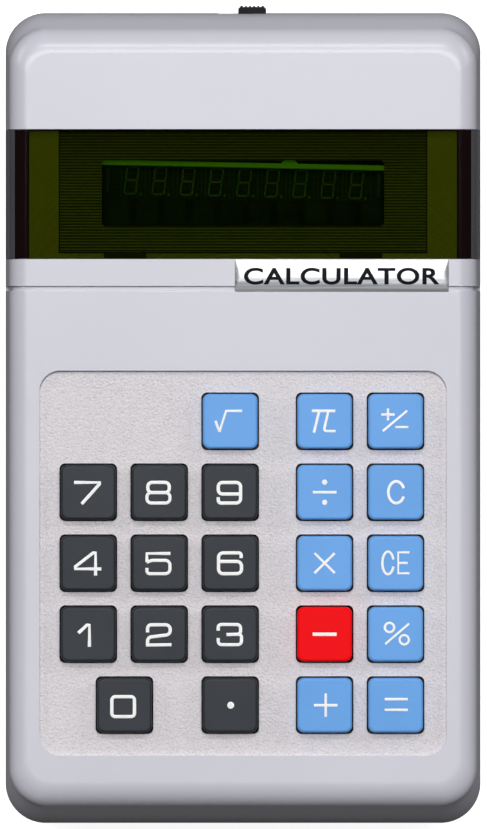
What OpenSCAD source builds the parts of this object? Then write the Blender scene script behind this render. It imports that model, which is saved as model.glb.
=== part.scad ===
// Pocket calculator with a tube display, twenty-two separate keys, a sliding
// power switch and a slide-off battery cover.
// Millimetres. The case lies on its back on z = 0, keys up; +Y points to the
// display end and the origin is under the middle of the case.

/* [Case] */
// Width of the case where its two halves meet
case_w = 78; // [77.5:0.5:82]
// Length of the case where its two halves meet
case_l = 133; // [133:0.5:138]
// Corner radius of the case, seen from above
corner_r = 6.6; // [5.4:0.2:7.4]
// Height of the flat face above the table
face_z = 25.2; // [25.2:0.1:26.5]
// Height of the line where the two halves meet
parting_z = 11.5; // [11.3:0.1:11.7]
// Wall thickness of both halves
wall = 2; // [1.8:0.1:2.2]

/* [Keys] */
// Side of a square key top
key_size = 8.95; // [8.8:0.05:9.2]
// Distance between neighbouring keys
key_pitch = 11.6; // [11.5:0.05:11.65]
// Clear gap all round a key in its hole
key_gap = 0.25; // [0.2:0.05:0.35]
// Height of a key top above the key panel
key_rise = 1.9; // [1.6:0.1:2.2]
// How far a key travels when pressed
key_travel = 1.2; // [0.8:0.1:1.3]
// Depth of the key panel below the face
recess_depth = 0.7; // [0.5:0.1:0.9]

/* [Display] */
// Length of the window along the case
window_l = 21.25; // [20.8:0.05:21.4]
// Thickness of the window where it is flat
window_t = 1.8; // [1.6:0.1:1.9]
// Width of the opening in the display mask
aperture_w = 46.2; // [44:0.2:47]
// Height of the opening in the display mask
aperture_l = 10.8; // [10:0.1:11]
// Number of digits in the display tube
digits = 9; // [8:1:9]

/* [Battery] */
// Diameter of one cell
cell_d = 14.2; // [13.8:0.1:14.2]
// Length of one cell with its button
cell_l = 50.5; // [49.5:0.1:50.5]

/* [Hidden] */
$fn = 48;
eps = 0.01;

// Case heights
back_z = 0.8;
floor_z = back_z + 2;
roof_z = face_z - 2.4;
recess_z = face_z - recess_depth;

// Edge shape of the upper half: a leaning wall, then an elliptical round.
// Each row is side, display end, key end.
upper_lean = [0.7, 2.6, 2.9];
upper_round = [3.3, 4.3, 4.1];
upper_round_z = 3.6;
// how late each wall starts to lean: 1 is a straight slope
upper_bow = [1.4, 2.6, 1.4];
lower_lean = [0.5, 1.0, 1.0];
lower_round = [2.0, 2.4, 2.4];
lower_round_z = 2.6;
corner_loss = 2.8;
round_steps = 6;

// Window, and the saddle of the upper half that carries it
window_y = 36.6;
window_y0 = window_y - window_l / 2;
window_y1 = window_y + window_l / 2;
window_sink = 0.25;
window_leg_x = 35;
window_fit = 0.06;
saddle_z = face_z - window_sink - window_t;
saddle_t = 1.65;
saddle_wall = 1.4;

// Strip below the window, its groove, and the nameplate on it
groove_y1 = window_y0 - 4.4;
groove_y0 = groove_y1 - 0.95;
groove_depth = 0.5;
plate_x0 = -1.3;
plate_w = 34.9;
plate_y0 = groove_y0 + 0.05;
plate_l = window_y0 - plate_y0 - 0.1;
plate_z = face_z - 0.3;
plate_rise = 0.4;
plate_bevel = 1.1;

// Key panel
panel_w = 66.6;
panel_y0 = -55.2;
panel_y1 = 7.75;
panel_r = 3.4;
moat_w = 0.35;
moat_depth = 0.6;

// Keys: node, column, row. Columns 3 and 4 stand apart from the digit keys.
left_column_x = -25.3;
operator_column_x = 13.34;
top_row_y = -0.54;
key_r = 1;
key_top_z = recess_z + key_rise;
flange_z = roof_z - 0.9;
flange_t = 0.8;
flange_over = 0.45;
KEYS = [
    ["key_square_root", 2, 0], ["key_pi", 3, 0], ["key_sign_change", 4, 0],
    ["key_7", 0, 1], ["key_8", 1, 1], ["key_9", 2, 1],
    ["key_divide", 3, 1], ["key_clear", 4, 1],
    ["key_4", 0, 2], ["key_5", 1, 2], ["key_6", 2, 2],
    ["key_multiply", 3, 2], ["key_clear_entry", 4, 2],
    ["key_1", 0, 3], ["key_2", 1, 3], ["key_3", 2, 3],
    ["key_minus", 3, 3], ["key_percent", 4, 3],
    ["key_0", 0.51, 4], ["key_point", 2, 4],
    ["key_plus", 3, 4], ["key_equals", 4, 4]
];

// Boards
board_t = 1.6;
keyboard_z = roof_z - 4.7;
keyboard_w = 69;
keyboard_y0 = -54.5;
keyboard_y1 = 9;
mat_z = keyboard_z + board_t;
mat_t = 0.5;
post_x = 32.6;
post_ys = [4, -24.5, -52];
post_r = 1.8;
logic_z = 9.5;
logic_top = logic_z + board_t;
logic_w = 65;
logic_y0 = -1.5;
logic_y1 = 61.5;
logic_posts = [[29, 5], [-29, 5], [27, 50], [-27, 50]];

// Case screws and the feet that plug their holes
case_screws = [[33.6, 58], [-33.6, 58], [33.6, -58.6], [-33.6, -58.6]];
boss_r = 3.2;
boss_split_z = 9.4;
boss_z = 18.5;
screw_seat_z = 4.6;
counterbore_r = 2.35;
screw_r = 1.1;

// Battery compartment and its cover
cell_pitch = cell_d + 0.15;
bay_x = 29;
bay_y0 = -60.5;
bay_y1 = -5;
bay_wall = 1.2;
bay_z = 16.9;
bay_roof_t = 1;
cell_z = 9.6;
cover_t = 1.5;
cover_gap = 0.1;
cover_lip_z = 6;
cover_y1 = bay_y1 + 0.4;
tongue_w = 1;
contact_t = 0.4;

// Lead positions of the parts on the logic board
LINK_HOLES = [for (i = [0:11]) [(i - 5.5) * 2.54, 6.6]];
TUBE_HOLES = [for (i = [0:18]) [(i - 9) * 2.54, 27.65]];
CHIP_HOLES = [for (i = [0:13], s = [-1, 1]) [(i - 6.5) * 2.54, 16 + s * 7.3]];
CAPACITORS = [[22.5, 13], [29, 14.5], [25.5, 20.3]];
CAPACITOR_HOLES = [for (p = CAPACITORS, s = [-1, 1]) p + [s * 1.25, 0]];
RESISTORS = [for (i = [0:5]) [-22 + i * 3, 51]];
RESISTOR_HOLES = [for (p = RESISTORS, s = [-1, 1]) p + [0, s * 3.7]];
TRANSISTORS = [for (i = [0:2]) [12 + i * 5.6, 55]];
TRANSISTOR_HOLES = [for (p = TRANSISTORS, s = [-1, 0, 1]) p + [s * 1.27, 0]];

// Display tube
tube_base_z = 14;
tube_base_t = 1.2;
tube_top_z = 20.4;
tube_w = 47.4;
tube_y0 = 29.5;
tube_y1 = 41.8;
tube_wall = 0.8;
digit_pitch = 4.613;
digit_h = 4.4;
digit_w = 1.9;
digit_x0 = -18.35;
digit_y = 38.6;
digit_slant = 0.1;
tube_turn = -1.2;
segment_w = 0.28;
mask_w = 60;
mask_l = 19.8;
mask_y = 36.97;
aperture_y = 36.75;
mask_rib_pitch = 0.48;

// Power switch
knob_x = 1.5;
knob_travel = 3;
knob_w = 4.6;
knob_z0 = parting_z + 0.2;
knob_h = 3;
knob_out = 1.15;

// Colours
shell_colour = [0.80, 0.80, 0.83];
dark_key = [0.25, 0.26, 0.28];
blue_key = [0.40, 0.62, 0.87];
red_key = [0.93, 0.07, 0.10];

STATIC_NODES = [
    "front_case", "rear_case", "display_window", "display_mask", "nameplate",
    "rubber_keypad", "keyboard_board", "contact_pads", "logic_board", "board_link_wires",
    "tube_base", "tube_glass", "tube_segments", "tube_grids", "tube_filaments", "tube_leads",
    "logic_chip", "logic_chip_pins", "converter_coil", "capacitors", "resistors",
    "transistors", "switch_housing", "battery_cell_1", "battery_cell_2",
    "battery_cell_3", "battery_cell_4", "battery_springs", "battery_contacts",
    "battery_leads", "case_screws", "keyboard_screws", "logic_screws", "rubber_feet",
    "power_switch_knob", "battery_cover"
];

// ---------- helpers ----------

function key_x(column) =
    column < 3 ? left_column_x + column * key_pitch : operator_column_x + (column - 3) * key_pitch;
function key_y(row) = top_row_y - row * key_pitch;
function is_digit(name) = name == "key_point" || (len(name) == 5);

// Rectangle with true arcs at its corners
module rounded_rect(w, l, r) {
    square([w - 2 * r, l], center = true);
    square([w, l - 2 * r], center = true);
    for (x = [-1, 1], y = [-1, 1])
        translate([x * (w / 2 - r), y * (l / 2 - r)]) circle(r);
}

// Case outline, pulled in by its side, display end and key end insets
module outline(inset, r) {
    translate([0, (inset[2] - inset[1]) / 2])
        rounded_rect(case_w - 2 * inset[0], case_l - inset[1] - inset[2], r);
}

// One thin level of the case
module case_level(z, inset, r) {
    translate([0, 0, z]) linear_extrude(eps) outline(inset, r);
}

// Upright ring t thick that follows the case outline
module outline_ring(z0, z1, inset, t) {
    translate([0, 0, z0]) linear_extrude(z1 - z0) difference() {
        outline(inset, corner_r - inset[0]);
        outline(inset + [t, t, t], corner_r - inset[0] - t);
    }
}

// Solid upper half. side and top pull its surface inwards.
module upper_solid(side = 0, top = 0) {
    grow = [side, side, side];
    start_z = face_z - upper_round_z;
    hull() {
        case_level(parting_z, grow, corner_r - side);
        case_level(parting_z + (start_z - parting_z) * 0.4,
            grow + [for (i = [0:2]) upper_lean[i] * pow(0.4, upper_bow[i])], corner_r - side);
        for (i = [0:round_steps]) {
            a = 90 * i / round_steps;
            case_level(start_z + (upper_round_z - top) * sin(a) - eps,
                grow + upper_lean + upper_round * (1 - cos(a)),
                corner_r - side - corner_loss * i / round_steps);
        }
    }
}

// Solid lower half
module lower_solid(side = 0) {
    grow = [side, side, side];
    start_z = back_z + lower_round_z;
    hull() {
        case_level(parting_z - eps, grow, corner_r - side);
        for (i = [0:round_steps]) {
            a = 90 * i / round_steps;
            case_level(start_z - lower_round_z * sin(a),
                grow + lower_lean + lower_round * (1 - cos(a)),
                corner_r - side - 2 * i / round_steps);
        }
    }
}

// Box from its low corner to its high corner
module block(low, high) {
    translate(low) cube(high - low);
}

// Box that is the same on both sides of the middle plane
module wide_block(half_w, y0, y1, z0, z1) {
    block([-half_w, y0, z0], [half_w, y1, z1]);
}

// Round tube swept along points. up is never parallel to the path.
module swept_tube(points, r, sides, up) {
    last = len(points) - 1;
    function direction(i) =
        let (d = points[min(i + 1, last)] - points[max(i - 1, 0)]) d / norm(d);
    function ring(i) =
        let (t = direction(i), u = cross(t, up) / norm(cross(t, up)), v = cross(t, u))
        [for (k = [0:sides - 1])
            points[i] + r * cos(360 * k / sides) * u + r * sin(360 * k / sides) * v];
    side_faces = [for (i = [0:last - 1], k = [0:sides - 1])
        let (a = i * sides + k, b = i * sides + (k + 1) % sides)
        [a, b, b + sides, a + sides]];
    start_cap = [for (k = [sides - 1:-1:0]) k];
    end_cap = [for (k = [0:sides - 1]) last * sides + k];
    polyhedron([for (i = [0:last], p = ring(i)) p], concat([start_cap, end_cap], side_faces));
}

// ---------- case ----------

// Space inside the upper half, narrowed under the window
module upper_cavity() {
    zone_y0 = window_y0 - 1.6;
    zone_y1 = window_y1 + 1.6;
    difference() {
        hull() {
            case_level(parting_z - 1, [wall, wall, wall], corner_r - wall);
            case_level(roof_z - eps,
                [upper_lean[0] + 1.9, upper_lean[1] + 2.9, upper_lean[2] + 3.3],
                corner_r - wall - 1);
        }
        wide_block(case_w, zone_y0, zone_y1, 0, face_z);
    }
    wide_block(window_leg_x - saddle_wall, zone_y0 - eps, zone_y1 + eps,
        parting_z - 1, saddle_z - saddle_t);
}

// Saddle-shaped slot that takes the window
module window_slot() {
    difference() {
        wide_block(case_w, window_y0, window_y1, parting_z - 1, face_z + 1);
        wide_block(window_leg_x - window_fit, window_y0 - 1, window_y1 + 1,
            parting_z - 2, saddle_z);
    }
}

// Groove round the case under the strip, with a slope on its key side
module strip_groove() {
    intersection() {
        wide_block(case_w, groove_y0 + 0.2, groove_y1, parting_z - 1, face_z + 1);
        difference() {
            wide_block(case_w, groove_y0 - 1, groove_y1 + 1, parting_z - 1, face_z + 1);
            upper_solid(groove_depth, groove_depth);
        }
    }
    wide_block(case_w, groove_y1 - 0.3, groove_y1, face_z - groove_depth - 0.35, face_z + 1);
    translate([-case_w / 2, 0, 0]) rotate([90, 0, 90]) linear_extrude(case_w)
        polygon([[groove_y0, face_z], [groove_y1 - 0.1, face_z - groove_depth],
            [groove_y1 - 0.1, face_z + 1], [groove_y0, face_z + 1]]);
}

module screw_boss(x, y, z0, z1, r, bore_r, bore_z1) {
    difference() {
        translate([x, y, z0]) cylinder(r = r, h = z1 - z0);
        translate([x, y, z0 - 1]) cylinder(r = bore_r, h = bore_z1 - z0 + 1);
    }
}

// Narrow moat along the display side of the recess floor
module panel_moat() {
    wide_block(panel_w / 2 - panel_r, panel_y1 - moat_w, panel_y1,
        recess_z - moat_depth, face_z + 1);
}

module key_holes() {
    hole = key_size + 2 * key_gap;
    for (k = KEYS)
        translate([key_x(k[1]), key_y(k[2]), roof_z - 1])
            linear_extrude(face_z) rounded_rect(hole, hole, key_r + key_gap);
}

module switch_slot() {
    half = knob_travel / 2 + knob_w / 2 + 0.25;
    block([-half, case_l / 2 - 8, parting_z - 1], [half, case_l / 2 + 2, knob_z0 + knob_h + 0.25]);
}

module front_case() {
    color(shell_colour) {
        difference() {
            upper_solid();
            upper_cavity();
            window_slot();
            strip_groove();
            translate([0, (panel_y0 + panel_y1) / 2, recess_z])
                linear_extrude(face_z) rounded_rect(panel_w, panel_y1 - panel_y0, panel_r);
            panel_moat();
            key_holes();
            block([plate_x0 - 0.05, plate_y0 - 0.05, plate_z],
                [plate_x0 + plate_w + 0.05, window_y0 + eps, face_z + 1]);
            wide_block(mask_w / 2 + 0.15, mask_y - mask_l / 2 - 0.15,
                mask_y + mask_l / 2 + 0.15, saddle_z - 3, face_z);
            for (x = [-19.3, 19.3])
                block([x - 3.5, window_y0 + 0.05, saddle_z - 0.8],
                    [x + 3.5, window_y1 - 0.05, saddle_z + 0.1]);
            switch_slot();
        }
        for (p = case_screws)
            screw_boss(p[0], p[1], boss_split_z, boss_z, boss_r, screw_r + 0.03, 17);
        for (s = [-1, 1], y = post_ys)
            screw_boss(s * post_x, y, mat_z, roof_z + 0.5, post_r, 0.8, roof_z + 0.2);
    }
}

module rear_case() {
    bay_out_x = bay_x + bay_wall;
    color(shell_colour) difference() {
        union() {
            difference() {
                lower_solid();
                hull() {
                    case_level(floor_z, [wall + 0.5, wall + 1, wall + 1], corner_r - wall - 1);
                    case_level(parting_z, [wall, wall, wall], corner_r - wall);
                }
            }
            // lip that locates the upper half
            difference() {
                union() {
                    outline_ring(parting_z - 2, parting_z, [wall - 0.1, wall - 0.1, wall - 0.1], 2);
                    outline_ring(parting_z - eps, parting_z + 1.4,
                        [wall + 0.3, wall + 0.9, wall + 1.1], 0.9);
                }
                wide_block(case_w, window_y0 - 1.8, window_y1 + 1.8, parting_z, face_z);
                wide_block(9, 50, case_l, parting_z - 3, face_z);
                for (p = case_screws)
                    translate([p[0], p[1], boss_split_z]) cylinder(r = boss_r + 0.12, h = 9);
            }
            for (p = case_screws) {
                translate([p[0], p[1], back_z + 1]) cylinder(r = boss_r, h = screw_seat_z);
                translate([p[0], p[1], back_z + 1]) cylinder(r = 2.6, h = boss_split_z - back_z - 1);
            }
            for (p = logic_posts)
                translate([p[0], p[1], back_z + 1]) cylinder(r = 2.4, h = logic_z - back_z - 1);
            wide_block(bay_out_x, bay_y0 - bay_wall, bay_y1 + bay_wall, back_z + 1,
                bay_z + bay_roof_t);
            // ceiling over the lip of the battery cover
            wide_block(bay_out_x, -case_l / 2 + 1.5, bay_y0, cover_lip_z + cover_gap,
                cover_lip_z + 1.3);
        }
        // battery bay, open below, and the seat of its cover
        wide_block(bay_x, bay_y0, bay_y1, back_z - 1, bay_z);
        wide_block(bay_x + cover_gap, -case_l, cover_y1 + cover_gap, back_z - 1, back_z + 0.72);
        wide_block(bay_x + tongue_w, -case_l, cover_y1 + cover_gap, back_z + 0.7,
            back_z + cover_t + cover_gap);
        wide_block(bay_x + cover_gap, -case_l, bay_y0 - bay_wall, back_z - 1,
            cover_lip_z + cover_gap);
        wide_block(4.2, cover_y1, cover_y1 + 1.8, back_z + 0.7, back_z + cover_t + cover_gap);
        // slits for the two battery terminals
        for (s = [-1, 1])
            block([s * 1.5 * cell_pitch - 1.6, bay_y1 - 1, 11.4],
                [s * 1.5 * cell_pitch + 1.6, bay_y1 + bay_wall + 1, 12.6]);
        for (p = case_screws) {
            translate([p[0], p[1], 0]) cylinder(r = counterbore_r, h = screw_seat_z);
            translate([p[0], p[1], 0]) cylinder(r = screw_r + 0.15, h = boss_split_z + 1);
        }
        for (p = logic_posts)
            translate([p[0], p[1], floor_z + 1]) cylinder(r = 0.8, h = logic_z);
    }
}

module battery_cover() {
    color(shell_colour) difference() {
        intersection() {
            lower_solid();
            union() {
                wide_block(bay_x, -case_l, cover_y1, 0, back_z + cover_t);
                wide_block(bay_x + tongue_w - cover_gap, -case_l, cover_y1 - 1,
                    back_z + 0.78, back_z + cover_t);
                wide_block(bay_x, -case_l, bay_y0 - bay_wall - cover_gap, 0, cover_lip_z);
                wide_block(4, cover_y1 - 1, cover_y1 + 1.6, back_z + 0.78, back_z + cover_t);
            }
        }
        wide_block(bay_x - 1.5, 1.9 - case_l / 2, bay_y0, back_z + cover_t, cover_lip_z + 1);
        // thumb grip and arrow
        for (i = [0:6])
            wide_block(8, -22 + 1.7 * i, -21.2 + 1.7 * i, back_z - 1, back_z + 0.45);
        translate([0, -27, back_z - 1]) rotate(-90) cylinder(r = 4, h = 1.45, $fn = 3);
    }
}

module display_window() {
    color([0.16, 0.24, 0.03]) difference() {
        intersection() {
            upper_solid(0, window_sink);
            wide_block(case_w, window_y0 + window_fit, window_y1 - window_fit,
                parting_z + 0.1, face_z);
        }
        wide_block(window_leg_x, window_y0 - 1, window_y1 + 1, 0, saddle_z);
    }
}

module display_mask() {
    z1 = saddle_z - 0.15;
    z0 = z1 - 1.5;
    rows = floor(mask_l / mask_rib_pitch);
    color([0.05, 0.05, 0.05]) difference() {
        union() {
            wide_block(mask_w / 2, mask_y - mask_l / 2, mask_y + mask_l / 2, z0, z1);
            for (x = [-19.3, 19.3])
                block([x - 3.35, window_y0 + 0.15, z1 - 0.6], [x + 3.35, window_y1 - 0.15, z1 - 0.1]);
        }
        translate([0, aperture_y, z0 - 1])
            linear_extrude(4) rounded_rect(aperture_w, aperture_l, 0.7);
        for (i = [0:rows - 1])
            translate([-mask_w / 2 - 1, mask_y + (i - (rows - 1) / 2) * mask_rib_pitch, z1])
                rotate([45, 0, 0]) translate([0, -0.13, -0.13]) cube([mask_w + 2, 0.26, 0.26]);
    }
}

module nameplate() {
    color([0.78, 0.79, 0.80]) translate([plate_x0, plate_y0, plate_z]) {
        hull() {
            cube([plate_w, plate_l, face_z - plate_z]);
            translate([plate_bevel / 2, plate_bevel / 2, 0])
                cube([plate_w - plate_bevel, plate_l - plate_bevel,
                    face_z - plate_z + 0.6 * plate_rise]);
            translate([plate_bevel, plate_l * 0.35, 0])
                cube([plate_w - 2 * plate_bevel, plate_l * 0.3,
                    face_z - plate_z + plate_rise]);
        }
    }
}

// ---------- keys ----------

module key_cap(name, column, row) {
    shade = name == "key_minus" ? red_key : is_digit(name) ? dark_key : blue_key;
    skirt = key_size + 2 * key_gap + 2 * flange_over;
    color(shade) translate([key_x(column), key_y(row), 0]) {
        difference() {
            union() {
                translate([0, 0, flange_z]) linear_extrude(flange_t)
                    rounded_rect(skirt, skirt, key_r + key_gap);
                translate([0, 0, flange_z]) linear_extrude(key_top_z - 0.35 - flange_z)
                    rounded_rect(key_size, key_size, key_r);
                hull() {
                    translate([0, 0, key_top_z - 0.36]) linear_extrude(eps)
                        rounded_rect(key_size, key_size, key_r);
                    translate([0, 0, key_top_z - eps]) linear_extrude(eps)
                        rounded_rect(key_size - 0.6, key_size - 0.6, key_r - 0.3);
                }
            }
            translate([0, 0, flange_z - 1]) linear_extrude(key_top_z - 1.2 - flange_z + 1)
                rounded_rect(key_size - 2.4, key_size - 2.4, key_r);
        }
        translate([0, 0, flange_z - 0.3]) cylinder(r = 1.7, h = key_top_z - 0.7 - flange_z);
    }
}

module rubber_keypad() {
    dome_top = flange_z - 0.35;
    color([0.45, 0.47, 0.50]) difference() {
        union() {
            block([-keyboard_w / 2 + 0.5, keyboard_y0 + 0.5, mat_z],
                [keyboard_w / 2 - 0.5, keyboard_y1 - 0.5, mat_z + mat_t]);
            for (k = KEYS) translate([key_x(k[1]), key_y(k[2]), mat_z]) {
                cylinder(r1 = 4.2, r2 = 2.5, h = dome_top - 0.4 - mat_z);
                cylinder(r = 2.2, h = dome_top - mat_z);
            }
        }
        for (k = KEYS) translate([key_x(k[1]), key_y(k[2]), mat_z - eps])
            cylinder(r1 = 3.7, r2 = 2, h = dome_top - 0.9 - mat_z);
        for (s = [-1, 1], y = post_ys)
            translate([s * post_x, y, mat_z - 1]) cylinder(r = post_r + 0.15, h = 4);
    }
}

// ---------- boards and parts on them ----------

module keyboard_board() {
    color([0.45, 0.33, 0.16]) difference() {
        block([-keyboard_w / 2, keyboard_y0, keyboard_z], [keyboard_w / 2, keyboard_y1, mat_z]);
        for (s = [-1, 1], y = post_ys)
            translate([s * post_x, y, keyboard_z - 1]) cylinder(r = 0.9, h = 4);
        for (p = LINK_HOLES) translate([p[0], p[1], keyboard_z - 1]) cylinder(r = 0.4, h = 4);
    }
}

// Two half-round contacts under each rubber dome, let into the board's face
module contact_pads() {
    color([0.85, 0.65, 0.25]) for (k = KEYS, s = [-1, 1])
        translate([key_x(k[1]), key_y(k[2]), mat_z]) intersection() {
            cylinder(r = 1.7, h = 0.05);
            block([s > 0 ? 0.2 : -2, -2, 0], [s > 0 ? 2 : -0.2, 2, 1]);
        }
}

module logic_board() {
    color([0.13, 0.36, 0.18]) difference() {
        wide_block(logic_w / 2, logic_y0, logic_y1, logic_z, logic_top);
        for (s = [-1, 1])
            block([s > 0 ? 29.8 : -40, 53.5, logic_z - 1], [s > 0 ? 40 : -29.8, 70, logic_top + 1]);
        for (p = logic_posts) translate([p[0], p[1], logic_z - 1]) cylinder(r = 0.95, h = 4);
        for (p = concat(LINK_HOLES, TUBE_HOLES, CHIP_HOLES, CAPACITOR_HOLES, RESISTOR_HOLES,
                TRANSISTOR_HOLES))
            translate([p[0], p[1], logic_z - 1]) cylinder(r = 0.4, h = 4);
    }
}

module board_link_wires() {
    color([0.8, 0.8, 0.82]) for (p = LINK_HOLES)
        translate([p[0], p[1], logic_z - 1]) cylinder(r = 0.3, h = mat_z - 0.1 - logic_z + 1);
}

// The tube sits very slightly turned on its base plate
module on_tube() {
    translate([0, 36, 0]) rotate(tube_turn) translate([0, -36, 0]) children();
}

module tube_base() {
    color([0.10, 0.11, 0.12])
        wide_block(tube_w / 2 + 1.5, tube_y0 - 1.7, tube_y1 + 1, tube_base_z,
            tube_base_z + tube_base_t);
}

// Glass box over the digits, with the sealed tip that the air was drawn out of
module tube_glass() {
    z0 = tube_base_z + tube_base_t;
    color([0.6, 0.75, 0.65, 0.4]) on_tube() {
        difference() {
            translate([0, (tube_y0 + tube_y1) / 2, z0])
                linear_extrude(tube_top_z - z0) rounded_rect(tube_w, tube_y1 - tube_y0, 0.8);
            wide_block(tube_w / 2 - tube_wall, tube_y0 + tube_wall, tube_y1 - tube_wall,
                z0 - 1, tube_top_z - tube_wall);
        }
        translate([7.5, tube_y1 - 0.4, tube_top_z - 2.2]) rotate([-90, 0, 0]) {
            cylinder(r = 1.3, h = 0.6);
            translate([0, 0, 0.6]) cylinder(r1 = 1.3, r2 = 0.4, h = 0.7);
        }
    }
}

// A slanted stroke from p to q in the digit's own grid
module segment(p, q) {
    along = (q - p) / norm(q - p);
    side = [-along[1], along[0]] * segment_w / 2;
    cut = 0.17;
    a = p + along * cut;
    b = q - along * cut;
    corners = [a + side, a - along * 0.1, a - side, b - side, b + along * 0.1, b + side];
    polygon([for (c = corners) [c[0] + c[1] * digit_slant, c[1]]]);
}

module digit() {
    w = digit_w / 2;
    h = digit_h / 2;
    for (y = [-h, 0, h]) segment([-w, y], [w, y]);
    for (x = [-w, w], y = [-h, 0]) segment([x, y], [x, y + h]);
    translate([w + 0.6, -h]) circle(0.22);
}

module tube_segments() {
    color([0.35, 0.55, 0.40]) on_tube() for (i = [0:digits - 1])
        translate([digit_x0 + i * digit_pitch, digit_y, tube_base_z + tube_base_t])
            linear_extrude(0.06) digit();
}

// One open frame over each digit, with its lead running to the key-side edge
module tube_grids() {
    z = tube_base_z + tube_base_t + 0.8;
    for (i = [0:digits - 1])
        color([0.30, 0.32, 0.32]) on_tube() translate([digit_x0 + i * digit_pitch + 0.3, digit_y, z]) {
            difference() {
                block([-2.05, -2.9, 0], [2.05, 2.35, 0.12]);
                block([-1.9, -2.75, -1], [1.9, 2.2, 1]);
            }
            for (j = [1:5]) block([-1.98 + j * 0.65, -2.8, 0], [-1.92 + j * 0.65, 2.3, 0.05]);
            block([-0.55, -6.5, 0], [0.55, -2.8, 0.12]);
            block([-0.55, -6.5, -0.8], [0.55, -6.35, 0.12]);
        }
}

module tube_filaments() {
    color([0.6, 0.6, 0.6]) on_tube() for (y = [digit_y - 1.2, digit_y + 1.2])
        translate([0, y, tube_base_z + tube_base_t + 2.2]) rotate([0, 90, 0])
            cylinder(r = 0.05, h = tube_w - 2 * tube_wall - 0.4, center = true);
    color([0.5, 0.5, 0.5]) on_tube() for (s = [-1, 1])
        block([s * 22.2 - 0.25, digit_y - 2, tube_base_z + tube_base_t],
            [s * 22.2 + 0.25, digit_y + 2, tube_base_z + tube_base_t + 2.3]);
}

module tube_leads() {
    color([0.75, 0.75, 0.78]) for (p = TUBE_HOLES)
        block([p[0] - 0.25, p[1] - 0.15, logic_z - 1],
            [p[0] + 0.25, p[1] + 0.15, tube_base_z + tube_base_t]);
}

module logic_chip() {
    color([0.10, 0.10, 0.11]) difference() {
        block([-18, 9.5, logic_top + 0.8], [18, 22.5, logic_top + 4.4]);
        translate([-18, 16, logic_top + 3.6]) cylinder(r = 1.2, h = 2);
    }
}

module logic_chip_pins() {
    color([0.8, 0.8, 0.82]) for (i = [0:13], s = [-1, 1]) {
        x = (i - 6.5) * 2.54;
        y = 16 + s * 7.3;
        block([x - 0.6, y - 0.13, logic_top + 0.8], [x + 0.6, y + 0.13, logic_top + 2.4]);
        block([x - 0.25, y - 0.13, logic_z - 1], [x + 0.25, y + 0.13, logic_top + 0.8]);
        block([x - 0.6, s > 0 ? y - 0.8 : y, logic_top + 2.2],
            [x + 0.6, s > 0 ? y : y + 0.8, logic_top + 2.4]);
    }
}

module converter_coil() {
    color([0.75, 0.55, 0.15]) translate([-26, 17, logic_top]) {
        block([-5, -5.5, 0], [5, 5.5, 1.4]);
        translate([0, 0, 1.4]) cylinder(r = 3.6, h = 5);
        block([-5, -5.5, 6.4], [5, 5.5, 7.8]);
        for (s = [-1, 1]) block([-3, s * 4.6 - 0.9, 1.4], [3, s * 4.6 + 0.9, 6.4]);
    }
}

module capacitors() {
    color([0.15, 0.25, 0.55]) {
        for (p = CAPACITORS) translate([p[0], p[1], logic_top]) cylinder(r = 3.1, h = 9);
        for (p = CAPACITOR_HOLES)
            translate([p[0], p[1], logic_z - 1]) cylinder(r = 0.3, h = board_t + 1.5);
    }
}

module resistors() {
    color([0.80, 0.68, 0.48]) {
        for (p = RESISTORS) translate([p[0], p[1], logic_top + 1]) rotate([90, 0, 0]) {
            cylinder(r = 0.9, h = 4.4, center = true);
            cylinder(r = 0.3, h = 7.4, center = true);
        }
        for (p = RESISTOR_HOLES)
            translate([p[0], p[1], logic_z - 1]) cylinder(r = 0.3, h = board_t + 2);
    }
}

module transistors() {
    color([0.12, 0.12, 0.12]) {
        for (p = TRANSISTORS) translate([p[0], p[1], logic_top + 1.5]) difference() {
            cylinder(r = 2.4, h = 4.6);
            block([-3, 1.2, -1], [3, 3, 6]);
        }
        for (p = TRANSISTOR_HOLES)
            translate([p[0], p[1], logic_z - 1]) cylinder(r = 0.25, h = board_t + 3);
    }
}

// ---------- power switch ----------

module switch_housing() {
    z = knob_z0 + knob_h / 2;
    color([0.72, 0.73, 0.75]) difference() {
        wide_block(5.5, 55.5, 61.2, logic_top, z + 2.8);
        wide_block(knob_travel / 2 + 1.3, 58, 62, z - 1.15, z + 1.15);
    }
}

module power_switch_knob() {
    z = knob_z0 + knob_h / 2;
    y1 = case_l / 2 + knob_out;
    rib = 0.34;
    color([0.10, 0.11, 0.12]) translate([knob_x, 0, 0]) {
        difference() {
            block([-knob_w / 2, 62.7, knob_z0], [knob_w / 2, y1, knob_z0 + knob_h]);
            for (s = [-1, 1]) translate([s * knob_w / 2, y1, 0]) rotate(45)
                cube([0.7, 0.7, 60], center = true);
            for (i = [-2:2]) block([i * 2 * rib - rib / 2, y1 - 0.22, 0],
                [i * 2 * rib + rib / 2, y1 + 1, 60]);
        }
        block([-5.8, 62, knob_z0], [5.8, 63, knob_z0 + knob_h + 0.5]);
        block([-1, 59, z - 1], [1, 62.5, z + 1]);
    }
}

// ---------- battery ----------

function cell_x(i) = (i - 1.5) * cell_pitch;
// Cells lie head to tail: the first has its button at the display end
function cell_way(i) = i % 2 == 0 ? 1 : -1;
function cell_flat_y(i) = cell_way(i) > 0 ? bay_y1 - contact_t - cell_l : bay_y0 + contact_t + cell_l;

module battery_cell(i) {
    way = cell_way(i);
    color([0.72, 0.60, 0.28]) translate([cell_x(i), cell_flat_y(i), cell_z])
        rotate([-90 * way, 0, 0]) {
            cylinder(r = cell_d / 2, h = cell_l - 1.4);
            cylinder(r = 2.75, h = cell_l);
        }
}

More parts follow.
